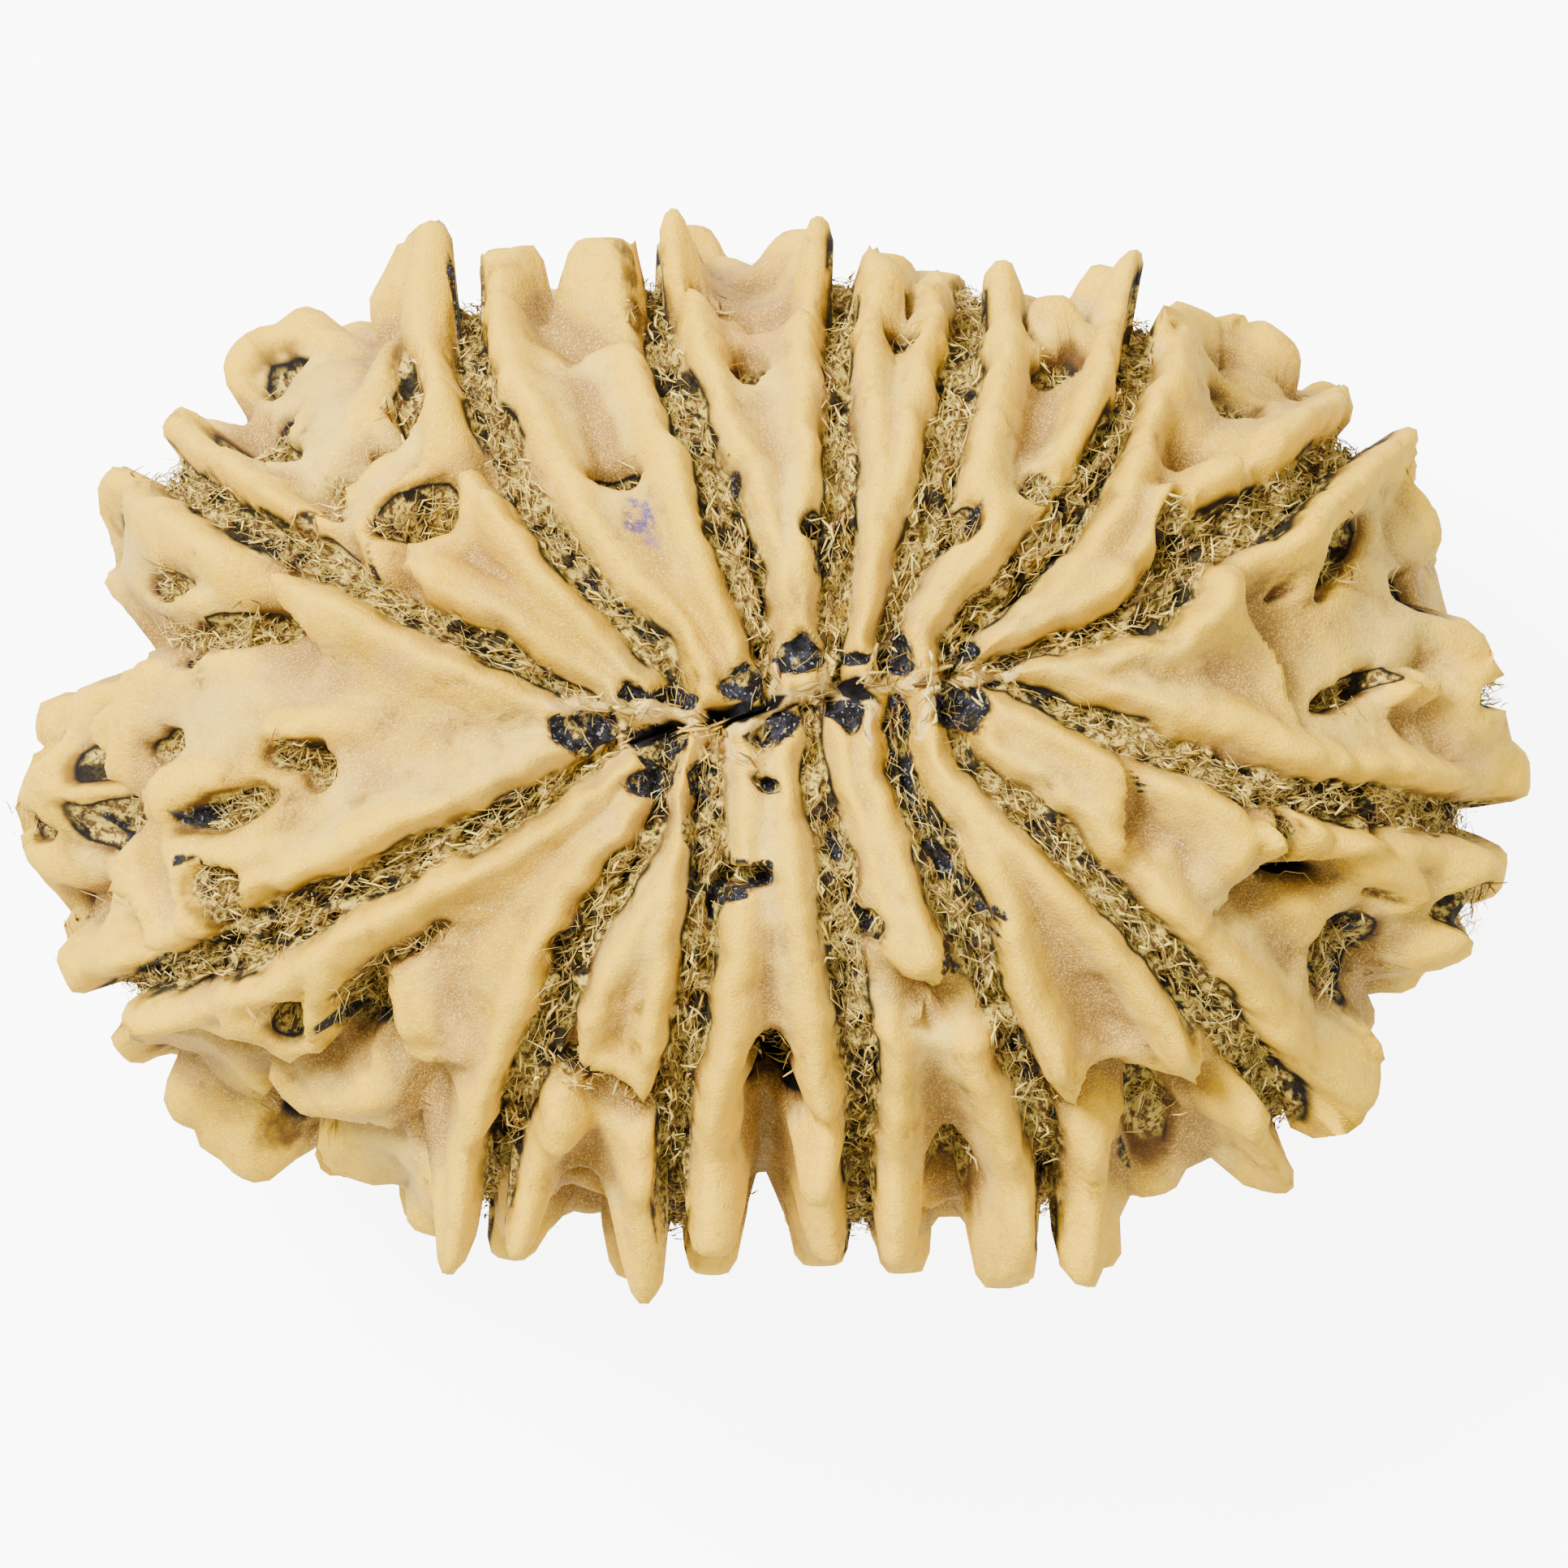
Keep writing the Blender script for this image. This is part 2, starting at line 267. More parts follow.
    "cliffs": [[1.0, [6.9, .2, .1], [6.85, -.4, .35], [6.95, -1.2, .45], [6.8, -2.1, .2]],
      [1.3, [8.4, -.1, .2], [9.0, -.9, .6], [9.5, -1.5, .7], [9.75, -2.0, .8], [9.65, -2.4, .8],
      [9.2, -2.8, .3]], [.9, [11.5, -1.9, .2], [10.9, -2.15, .8], [10.3, -2.2, .8], [9.9, -2.0, .3]],
      [1.0, [12.3, -4.9, .2], [12.2, -4.1, .3], [12.7, -3.3, .3]]],
    "ridges": [[.6, [4.8, .8, .3], [5.8, .4, .4], [6.5, -.2, .5], [6.7, -.9, .55]],
      [.6, [7.9, -.6, .4], [8.7, -1.1, .5], [9.2, -1.8, .65], [9.1, -2.3, .6]],
      [.6, [7.3, -2.2, .2], [7.9, -3.1, .6], [8.8, -4.2, .5], [9.7, -5.3, .5], [10.5, -6.3, .6]],
      [.62, [10.4, -1.65, 1.2], [10.9, -1.75, 1.2]],
      [.5, [11.7, -1.7, .6], [12.4, -2.4, .6], [12.7, -2.9, .8]],
      [1.1, [13.6, -1.8, 1.0], [13.5, -2.4, 1.4], [13.2, -3.4, 1.5]],
      [.5, [12.2, -3.7, .4], [12.9, -3.5, .6]], [.5, [11.2, -5.0, .3], [11.6, -5.6, .3]]],
    "folds": [[.45, [7.1, -1.0, .4], [7.3, -1.7, .5], [6.8, -2.2, .4]], [.4, [9.3, -2.7, .4],
      [9.8, -2.4, .6]], [.25, [10.75, -4.7, .4], [10.9, -5.8, .5]], [.6, [9.9, -3.4, .3],
      [10.3, -4.0, .3]]],
    "pits": [[10.5, -2.4, .6, .24, -12, 1.0], [11.35, -4.0, .95, .6, 65, .72],
      [12.95, -2.7, .55, .28, 70, .72], [11.9, -2.75, .28, .14, -10, .5], [9.85, -1.6, .5, .22, -70, .9]],
    "spines": [[10.9, -5.8, 11.9, -6.4, 1.0, -.7],
      [10.7, -6.3, 11.1, -7.6, .9, -.2]]},
  {"columns": 14,     # right end
    "cliffs": [[1.6, [8.9, 3.7, .2], [9.3, 3.1, .5], [9.7, 2.4, .5], [10.1, 1.7, .4], [10.3, 1.0, .1]]],
    "ridges": [[.45, [7.0, 1.3, .2], [8.1, .9, .4], [9.1, .65, .6], [10.2, .15, .65], [11.2, -.2, .7]],
      [.7, [8.5, 3.0, .9], [8.9, 3.4, .8]], [.5, [9.5, 3.9, .5], [10.3, 4.5, .85], [11.0, 5.0, .6],
      [11.6, 5.5, .7]], [.6, [8.9, 2.7, .5], [9.6, 2.0, .4], [10.2, 1.5, .2]],
      [.45, [11.9, -.3, .5], [12.6, -.5, .5], [13.2, -.6, .5]],
      [.5, [12.6, 2.0, .3], [13.0, 2.6, .4]], [.4, [12.8, 1.35, 1.0], [13.1, 1.3, 1.0]],
      [1.1, [13.7, 1.3, 1.5], [13.8, .8, 1.25], [13.87, -.35, .9]]],
    "folds": [[.6, [8.9, 1.9, .3], [9.4, 1.6, .3]], [.4, [12.4, 1.1, .3], [12.5, .5, .3]]],
    "pits": [[11.1, 3.85, .85, .4, 60, .9], [10.15, 3.3, .25, .14, 30, .4], [11.35, 1.2, .8, .26, 28, .9],
      [13.4, 1.15, .45, .28, 10, .72], [12.6, 3.25, .45, .24, -60, .8]],
    "spines": [[12.6, 4.6, 13.2, 4.7, .9, -.3], [13.2, 2.4, 14.2, 2.1, .8, -.4],
      [11.9, 5.4, 12.5, 5.9, .8, -.3]]},
]

# Round black scars at the upper seam: x, y, half length, half width, degrees.
scars = [[.6, 1.95, .5, .45, 0], [1.6, 1.9, .3, .2, 0], [2.5, 2.0, .42, .42, 0],
  [3.75, 2.1, .35, .3, 60], [4.55, 1.7, .4, .3, 15], [3.75, 1.0, .6, .55, 0], [2.5, .5, .6, .28, 90],
  [1.45, .9, .5, .38, 0], [0, .55, .55, .35, 15], [-.5, 1.45, .45, .4, 0], [-1.9, 1.05, .5, .35, -20],
  [-2.65, 1.1, .3, .3, 0], [-3.6, .5, .58, .5, 0], [-.15, -.6, .24, .22, 0], [-2.2, .2, .6, .4, 0],
    [-2.45, -.55, .55, .36, 0], [-1.3, -.45, .5, .32, 80]]

# Notches in the outline: x and y at the girth, reach, depth. Each runs on down the underside, as told by
# its run: share of the way out, side, part of the depth.
notches = [[-14, 2.5, 1.0, 1.6], [-11, 7.05, .5, .9], [2.5, 9.7, .3, .7], [3.35, 9.7, .5, 1.0],
  [5.25, 9.4, .5, 1.0], [9.2, 8.6, .9, .7], [12.7, -5.4, .7, .8], [8.6, -8.4, .5, .8],
    [3.45, -9.6, .6, .8], [-.2, -9.7, .6, 1.2], [-3.75, -9.6, .8, 1.1]]
notchRun = [[.95, 1, .8], [1, 1, 1], [.95, -1, 1], [.9, -1, .7], [.8, -1, 0]]

# Papery skins between the scars: reach, then x, y and share at each bend.
papers = [[.28, [-4.3, .95, .5], [-3.1, 1, .9], [-1.8, .75, 1], [-1, .5, 1], [-.2, .85, 1], [.8, 1.25, 1],
    [1.8, 1.35, 1], [3, 1.4, 1], [4, 1.65, .9], [5, 1.75, .5]],
  [.22, [-3, .2, .8], [-2.9, .75, .9], [-1.8, .75, .9]], [.2, [-1, .5, .9], [-.8, .1, .8], [-.3, -.2, .5]],
  [.2, [-.2, .85, .9], [.05, 1.4, .8], [.1, 1.9, .6]], [.2, [1, 1.3, .9], [1.15, 1.7, .8], [1.2, 2.1, .5]],
  [.2, [1.9, 1.35, .9], [2, .8, .8], [2, .3, .5]], [.2, [3.1, 1.4, .9], [3.15, .9, .8], [3, .3, .6]],
  [.34, [-2, .65, .8], [-1.5, .6, 1], [-1.2, .45, .8]],
  [.16, [-1.5, .6, 1], [-1.35, .15, .9], [-1.55, -.3, .6]], [.14, [-1.4, .7, 1], [-1.5, 1.2, .7]],
  [.2, [2, 1.4, .9], [2.05, 2.1, .7]], [.2, [3.1, 1.5, .9], [3.2, 2.1, .7]]]
# Open slits where the lobes don't quite meet, and black resin along furrows and pits, in the same way.
slits = [[.3, [-1.1, .75, .8], [-.5, .95, 1], [0, 1, 1], [.5, 1.05, .7]],
  [.26, [1.15, 1.2, .7], [1.5, 1.4, 1], [1.8, 1.2, 1], [2.05, 1.05, .7]],
  [.3, [-2.75, .3, .7], [-2.2, .5, 1], [-1.6, .6, .7]], [.24, [3.2, 1.45, .8], [3.65, 1.6, .8]]]
resins = [[.22, [1.15, -1.7, .8], [1.4, -2.4, 1], [1.6, -3, 1], [1.95, -3.4, 1]],
  [.22, [2.6, .3, 1], [2.8, -.6, 1], [2.95, -1.3, .9], [3.3, -2.1, 1], [3.8, -2.6, 1], [4, -3, 1]],
  [.2, [3.35, -3.2, 1], [3.35, -3.9, 1], [3.6, -4.3, .8]], [.2, [4.25, -2.9, 1], [4.3, -3.5, .9]],
  [.2, [-1.45, -.9, 1], [-1.55, -1.9, 1], [-1.65, -2.9, .8], [-1.7, -3.3, .3]],
  [.2, [-1.2, -3.1, 1], [-1.1, -2.7, 1], [-.6, -2.65, 1], [-.05, -2.4, 1], [-.1, -2.1, 1], [-.6, -2, .8]],
  [.18, [-2.3, -1.9, .6], [-2.75, -2.4, 1], [-3, -2.75, 1]], [.16, [-4.3, -3.4, .9], [-4.2, -3.8, .9]],
  [.14, [3.4, 4, 1], [3.7, 3.95, 1], [4, 4.2, 1], [3.95, 4.55, .9]],
  [.12, [3.45, 4.7, .9], [3.55, 5.4, .8], [3.7, 6.2, .5]],
  [.14, [.75, 4.45, 1], [.6, 4.1, 1], [.9, 3.8, .9], [1, 3.3, .7]],
  [.12, [-.2, 3, .8], [-.4, 4, .9], [-.65, 5, .9], [-.8, 5.6, .5]],
  [.13, [-4.4, 4.5, .8], [-3.7, 3.6, .9], [-2.9, 2.9, .8], [-2.3, 2.2, .5]],
  [.12, [4.6, 2.9, .9], [5.3, 3.5, 1], [6, 4.3, .9], [6.6, 5.5, .7]],
  [.2, [-7.7, 3.5, 1], [-7.5, 4, .9], [-7.4, 4.6, .7]], [.16, [-9.2, 6.2, 1], [-9.5, 6.1, .7]],
  [.14, [-6, 8.5, 1], [-6.2, 8, 1], [-6.1, 7.4, .5]],
  [.34, [-8.6, -5.3, .9], [-8.3, -5.8, 1], [-7.7, -5.8, 1], [-7.4, -5.4, .7]],
  [.26, [-13.7, -1.1, .7], [-13.55, -1.6, 1], [-13.3, -2.1, 1], [-13.1, -2.5, .7]],
  [.2, [-13.5, .2, .6], [-13.55, -.1, 1], [-13.4, -.4, .6]], [.2, [-14, -2.75, .5], [-13.4, -2.95, 1]],
  [.2, [-12.9, -2.7, .7], [-12.5, -3.1, 1], [-12.1, -3.6, .8]],
  [.22, [-10.1, -7.1, .7], [-9.7, -7.4, 1], [-9.2, -7.4, .7]], [.2, [13.7, -2.4, .7], [13.75, -3, .9]],
  [.2, [13.9, 1.3, .7], [13.7, .95, .8]], [.24, [11.7, -3.4, .7], [11.9, -4, 1], [11.7, -4.6, .7]],
  [.24, [-11.6, -1.2, 1], [-11.3, -1.2, 1], [-10.9, -1, .7]],
  [.14, [-11.4, -2.1, 1], [-11.1, -2.1, .8], [-10.6, -2.3, .4]], [.12, [7, -.3, .9], [7.2, -.7, .9]],
  [.15, [9.6, -.9, .8], [9.9, -2.2, 1], [10.6, -2.6, .8]],
  [.14, [10.9, -4.5, .7], [11.3, -4.8, 1], [11.9, -4.5, 1], [12.1, -3.6, .8]],
  [.12, [9, 7.4, .9], [8.9, 7.1, 1], [9.1, 6.8, .9]],
  [.12, [6.9, -7.4, .8], [7.2, -7.8, 1], [7.9, -7.6, .8]]]
# Gaps between plates, filled with fibre.
gaps = [[.36, [-4.1, -5.95, .9], [-3.5, -6.2, 1], [-2.9, -6.5, 1], [-2.2, -6.7, 1]],
  [.26, [-8.6, 5.6, .7], [-8.4, 5, 1], [-8.3, 4.4, .9]],
  [.24, [-6.3, -3.35, .6], [-7, -3.7, .9], [-7.7, -4.2, 1]], [.45, [-8.1, -4.6, 1], [-8, -5.6, 1]],
  [.34, [-.8, -2.3, 1], [-.35, -2.35, .9]], [.4, [0, -5.6, 1], [0, -6.3, 1]],
  [.3, [-7.9, 6.2, .8], [-7.4, 6.1, 1]], [.3, [-9.1, 4, .8], [-8.7, 4.2, 1]],
  [.26, [5.9, -6.7, .8], [6.3, -6.2, 1]], [.3, [-3.3, 8.6, .6], [-2.7, 8.2, .5]],
  [.3, [-12.5, 2.6, .7], [-11.6, 2.4, 1], [-10.9, 2.4, 1]], [.24, [9.5, -2.7, .9], [9.8, -2.3, .8]]]
# Stains: x, y, half length, half width, degrees, strength.
brownStains = [[-5.1, .7, .25, .15, 20, .6], [-6.3, 1.3, .2, .12, -20, .5], [-8, -1, .3, .2, 0, .5],
  [-7.1, -.4, .2, .15, 30, .5], [-3.4, 8.5, .45, .25, 0, .5], [9.6, 3.3, .35, .2, 60, .5],
  [-2.6, -4.7, .16, .26, 0, .6], [-2.6, -5.3, .14, .2, 0, .6], [-12.3, -5.2, .3, .15, -30, .7],
  [-9.6, -.6, .3, .2, 0, .4], [7.4, 2.2, .3, .14, 10, .4], [5, 5.3, .2, .1, 40, .5]]
purpleStains = [[-2.6, 4.45, .34, .28, 0, 1], [-2.4, 4.1, .3, .2, 0, .5]]

# The girth and the underside, drawn from a seeded generator. A tier is a share of the way from the
# girth to the upper seam, or to the lower one when it is negative.
grownForm = {
    "seed": 14, "tiers": [.02, -.2, -.42, -.62, -.8], "lowestTier": -.92,
    "wobble": .35, "wobblePhase": 2.4,      # how the furrows wander on the underside
    "rimReach": .5, "rimInset": .7, "insetLimit": .35, "rimHeights": (.25, .75),
    "rimTop": .36, "rimStep": .11,
    # Ridges in the middle of wide lobes, and bridges across them.
    "innerSpacing": 2.5, "innerReach": .6, "innerHeights": (.15, .75), "innerTop": .05, "innerStep": .16,
    "innerSway": .2,
    "bridgeReach": .4, "bridgeHeights": (.15, .5), "bridgeAcross": (.12, .37, .63, .88),
    "bridgeDrop": .1, "bridgeSway": .03,
    "pitSpacing": 2.7, "pitLengths": (.4, .85), "pitWidths": (.26, .42), "pitDepth": .9,
    "pitPlaces": (.35, .65), "pitSway": .04,
    "spineLengths": (.5, 1.4), "spineReaches": (.6, .95), "spineGirthShare": .3, "spineFullTier": .55,
    "rimSpineInsets": (.55, .95), "rimSpineSway": .06,
    "innerSpineShare": .8, "innerSpineSway": (.15, .08),
}
# How far the ground is raised under each kind of line, as a share of the line's own value.
lineLifts = {"ridges": .8, "folds": -1, "cliffs": -.4, "papers": 0, "resins": -.4, "slits": 0, "gaps": -.5}
# How an oval fades, in shares of its own size: full inside, gone after the fade.
ovalForm = {"lift": -.7, "full": .55, "fade": .75, "thick": 2, "seen": 2.7}

size = np.array([beadForm["halfLength"], beadForm["halfWidth"], beadForm["halfHeight"]])
noise.seed_set(beadForm["noiseSeed"])


def mix(a, b, share):
    return a + (b - a) * share


def smooth(x):
    x = np.clip(x, 0, 1)
    return x * x * (3 - 2 * x)


# Profiles, from 1 in the middle to 0 at the edge: soft, round and blunt.
def bell(q):
    return np.where(q < 1, (1 - np.minimum(q, 1) ** 2) ** 2, 0)


def dome(q):
    return np.where(q < 1, (1 - np.minimum(q, 1) ** 2) ** 1.15, 0)


def finger(q):
    return np.where(q < 1, (1 - np.minimum(q, 1) ** 4) ** 1.3, 0)


def atLeast(field, close, values):
    field[close] = np.maximum(field[close], values)


def seededRandom(seed):
    factor, offset, span = 1664525, 1013904223, 2 ** 32
    state = [seed]

    def draw(low=0, high=1):
        state[0] = (state[0] * factor + offset) % span
        return mix(low, high, state[0] / span)
    return draw


def planShare(x, y):  # 0 on the axis, 1 at the edge of the plain block
    n = beadForm["squareness"]
    return np.maximum(np.abs(x / size[0]) ** n + np.abs(y / size[1]) ** n, 1e-12)


def onBlock(x, y, side=1):
    n = beadForm["squareness"]
    x, y = np.asarray(x, float), np.asarray(y, float)
    share = planShare(x, y)
    shrink = np.where(share >= 1, share ** (-1 / n), 1)
    z = side * size[2] * (1 - np.minimum(share, 1)) ** (1 / n)
    return np.stack([x * shrink, y * shrink, z], -1)


def blockNormal(points):
    slope = np.sign(points) * np.abs(points / size) ** (beadForm["squareness"] - 1) / size
    return slope / np.linalg.norm(slope, axis=-1, keepdims=True)


def alongFurrow(bends, share):  # x, y and half width, a share of the way from the seam to the girth
    bends = np.array(bends, float)
    steps = np.hypot(*np.diff(bends[:, :2], axis=0).T)
    reached = np.concatenate([[0], np.cumsum(steps)])
    return [np.interp(np.asarray(share) * reached[-1], reached, bends[:, k]) for k in range(3)]


def stretchTo(endX, endY, r):  # the factor that brings a furrow's end out to the girth
    out = planShare(endX, endY) ** (-1 / beadForm["squareness"])
    return mix(1, out, smooth((np.asarray(r) - beadForm["stretchFrom"]) / (1 - beadForm["stretchFrom"])))


def furrowPlace(number, r, side):
    number = number % len(furrows)
    x, y, gap = alongFurrow(furrows[number], r)
    wave = np.sin(2 * np.pi * r + number * grownForm["wobblePhase"]) * np.sin(np.pi * r)
    swing = 0 if side > 0 else grownForm["wobble"] * wave
    stretch = stretchTo(*furrows[number][-1][:2], r)
    bearing = np.arctan2(y, x) + np.pi / 2
    return x * stretch + swing * np.cos(bearing), y * stretch + swing * np.sin(bearing), gap


def inLobe(lobe, across, r, side):  # the place in plan at a share across a lobe
    a, b = furrowPlace(lobe, r, side), furrowPlace(lobe + 1, r, side)
    endA, endB = furrowPlace(lobe, 1.0, side), furrowPlace(lobe + 1, 1.0, side)
    stretch = stretchTo(mix(endA[0], endB[0], across), mix(endA[1], endB[1], across), r)
    return mix(a[0], b[0], across) * stretch, mix(a[1], b[1], across) * stretch


def onTier(lobe, across, tier):
    side = -1 if tier < 0 else 1
    return onBlock(*inLobe(lobe, across, math.cos(math.pi * tier / 2), side), side)


def shownAt(x, y, height, side=1):  # the point that shows at x, y once it has been raised by a height
    x, y = np.asarray(x, float), np.asarray(y, float)
    normal = blockNormal(onBlock(x, y, side))
    slide = beadForm["slide"] * height * np.abs(normal[..., 2])
    return onBlock(x - normal[..., 0] * slide, y - normal[..., 1] * slide, side)


def lineOnBlock(bends, side=1, lift=0):  # one row for each bend: its point and its value
    bends = np.array(bends, float)
    return np.column_stack([shownAt(bends[:, 0], bends[:, 1], lift * bends[:, 2], side), bends[:, 2]])


def orientedOval(centre, direction, long, wide, depth):
    normal = blockNormal(centre)
    lengthways = direction - normal * (direction @ normal)
    lengthways /= np.linalg.norm(lengthways)
    return {"centre": centre, "long": long, "wide": wide, "depth": depth,
            "lengthways": lengthways, "crossways": np.cross(normal, lengthways), "normal": normal}


def ovalOnBlock(x, y, long, wide, degrees, depth):  # as seen from above
    turn, centre = math.radians(degrees), shownAt(x, y, ovalForm["lift"] * depth)
    return {"centre": centre, "long": long, "wide": wide, "depth": depth, "normal": blockNormal(centre),
            "lengthways": np.array([math.cos(turn), math.sin(turn), 0]),
            "crossways": np.array([-math.sin(turn), math.cos(turn), 0])}


def pitKind(pit):  # black inside, filled with pulp, or a shallow brown dent
    return "dark" if pit["depth"] >= 1 else "pit" if pit["depth"] > beadForm["dentDepth"] else "brown"


def tiersDown(top, step):
    tier = top
    while tier > grownForm["lowestTier"]:
        yield tier
        tier -= step


def grownForms():
    form = grownForm
    draw = seededRandom(form["seed"])
    made = {"ridges": [], "pits": [], "spines": []}

    def about(middle, sway):
        return middle + draw(-sway, sway)

    def wide(lobe, tier):
        return float(np.linalg.norm(onTier(lobe, 0, tier) - onTier(lobe, 1, tier)))

    def byRim(lobe, right, tier, inset):
        share = min(form["insetLimit"], inset / wide(lobe, tier))
        return onTier(lobe, 1 - share if right else share, tier)

    def addSpine(root, share):
        push = blockNormal(root) * share * draw(*form["spineLengths"])
        made["spines"].append((root, push, draw(*form["spineReaches"])))

    for lobe in range(len(furrows)):
        for right in (False, True):
            line = [[*byRim(lobe, right, tier, form["rimInset"]), draw(*form["rimHeights"])]
                    for tier in tiersDown(form["rimTop"], form["rimStep"])]
            made["ridges"].append((form["rimReach"], np.array(line)))
            for tier in form["tiers"][:3]:
                root = byRim(lobe, right, about(tier, form["rimSpineSway"]), draw(*form["rimSpineInsets"]))
                addSpine(root, mix(form["spineGirthShare"], 1, smooth(abs(tier) / form["spineFullTier"])))
        inner = math.floor(wide(lobe, form["tiers"][1]) / form["innerSpacing"] + .5) - 1
        for i in range(1, inner + 1):
            line = [[*onTier(lobe, about(i, form["innerSway"]) / (inner + 1), tier),
                     draw(*form["innerHeights"])] for tier in tiersDown(form["innerTop"], form["innerStep"])]
            made["ridges"].append((form["innerReach"], np.array(line)))
            swayAcross, swayDown = form["innerSpineSway"]
            for tier in form["tiers"][1:4]:
                root = onTier(lobe, about(i, swayAcross) / (inner + 1), about(tier, swayDown))
                addSpine(root, form["innerSpineShare"])
        for tier in form["tiers"]:
            line = [[*onTier(lobe, across, about(tier - form["bridgeDrop"], form["bridgeSway"])),
                     draw(*form["bridgeHeights"])] for across in form["bridgeAcross"]]
            made["ridges"].append((form["bridgeReach"], np.array(line)))
            count = max(1, math.floor(wide(lobe, tier) / form["pitSpacing"] + .5))
            for i in range(count):
                centre = onTier(lobe, (i + draw(*form["pitPlaces"])) / count, about(tier, form["pitSway"]))
                direction = np.array([draw(-1, 1), draw(-1, 1), draw(-1, 1)])
                made["pits"].append(orientedOval(centre, direction, draw(*form["pitLengths"]),
                                                 draw(*form["pitWidths"]), form["pitDepth"]))
    return made


def allForms():
    grown = grownForms()
    seen = {name: [shape for lobe in lobes for shape in lobe[name]]
            for name in ("ridges", "folds", "cliffs", "pits", "spines")}
    lines = {"ridges": seen["ridges"], "folds": seen["folds"], "cliffs": seen["cliffs"],
             "papers": papers, "resins": resins, "slits": slits, "gaps": gaps}
    made = {name: [(reach, lineOnBlock(bends, 1, lineLifts[name])) for reach, *bends in rows]
            for name, rows in lines.items()}
    made["ridges"] += grown["ridges"]
    made["folds"] += [
        (reach, np.array([[*onBlock(x * share, y * share, side), depth * part]
                          for share, side, part in notchRun]))
        for x, y, reach, depth in notches]
    made["pits"] = [ovalOnBlock(*pit) for pit in seen["pits"]] + grown["pits"]
    made["scars"] = [ovalOnBlock(*scar, beadForm["scarDepth"]) for scar in scars]
    made["brownStains"] = [ovalOnBlock(*stain) for stain in brownStains]
    made["purpleStains"] = [ovalOnBlock(*stain) for stain in purpleStains]
    steps = beadForm["furrowSteps"]
    ways = np.array([math.sin(math.pi * step / (2 * steps)) for step in range(steps + 1)])
    made["furrows"] = [lineOnBlock(np.column_stack(furrowPlace(number, ways, side)), side)
                       for side in (1, -1) for number in range(len(furrows))]
    made["seams"] = [lineOnBlock([[*end, 0] for end in beadForm["seamEnds"]], side) for side in (1, -1)]
    made["spines"] = []
    placed = np.array(seen["spines"], float)
    roots = onBlock(placed[:, 0], placed[:, 1])
    starts = carve(roots, made)[0]
    pushes = np.column_stack([placed[:, 2:4] - starts[:, :2], placed[:, 5]])
    lowStarts = carve(np.array([root for root, _, _ in grown["spines"]]), made)[0]
    low = [(root, start, push, reach) for (root, push, reach), start in zip(grown["spines"], lowStarts)]
    made["spines"] = list(zip(roots, starts, pushes, placed[:, 4])) + low
    return made


def nearest(points, line, reach):  # which points are near a line, how near, its value there, and which side
    low, high = line[:, :3].min(0) - reach, line[:, :3].max(0) + reach
    close = np.flatnonzero(((points > low) & (points < high)).all(1))
    near = points[close]
    distance, value, left = np.full(len(close), np.inf), np.zeros(len(close)), np.ones(len(close))
    for a, b in zip(line[:-1], line[1:]):
        along = b[:3] - a[:3]
        share = np.clip((near - a[:3]) @ along / max(along @ along, 1e-12), 0, 1)
        gap = np.linalg.norm(near - a[:3] - share[:, None] * along, axis=1)
        better = gap < distance
        distance[better] = gap[better]
        value[better] = mix(a[3], b[3], share)[better]
        side = np.einsum("ij,ij->i", np.cross(along, near - a[:3]), near)
        left[better] = np.where(side < 0, -1, 1)[better]
    return close, distance, value, left


def inOval(points, oval):
    longest = max(oval["long"], oval["wide"])
    off = points - oval["centre"]
    close = np.flatnonzero((np.abs(off) < ovalForm["seen"] * longest).all(1))
    off = off[close]
    q = np.hypot(off @ oval["lengthways"] / oval["long"], off @ oval["crossways"] / oval["wide"])
    q = np.maximum(q, np.linalg.norm(off, axis=1) / (ovalForm["thick"] * longest))
    return close, 1 - smooth((q - ovalForm["full"]) / ovalForm["fade"])


def noiseField(points, scale, seed):
    shift = Vector([seed * step for step in noiseSteps])
    return np.array([noise.noise_vector(Vector(p) / scale + shift) for p in points])


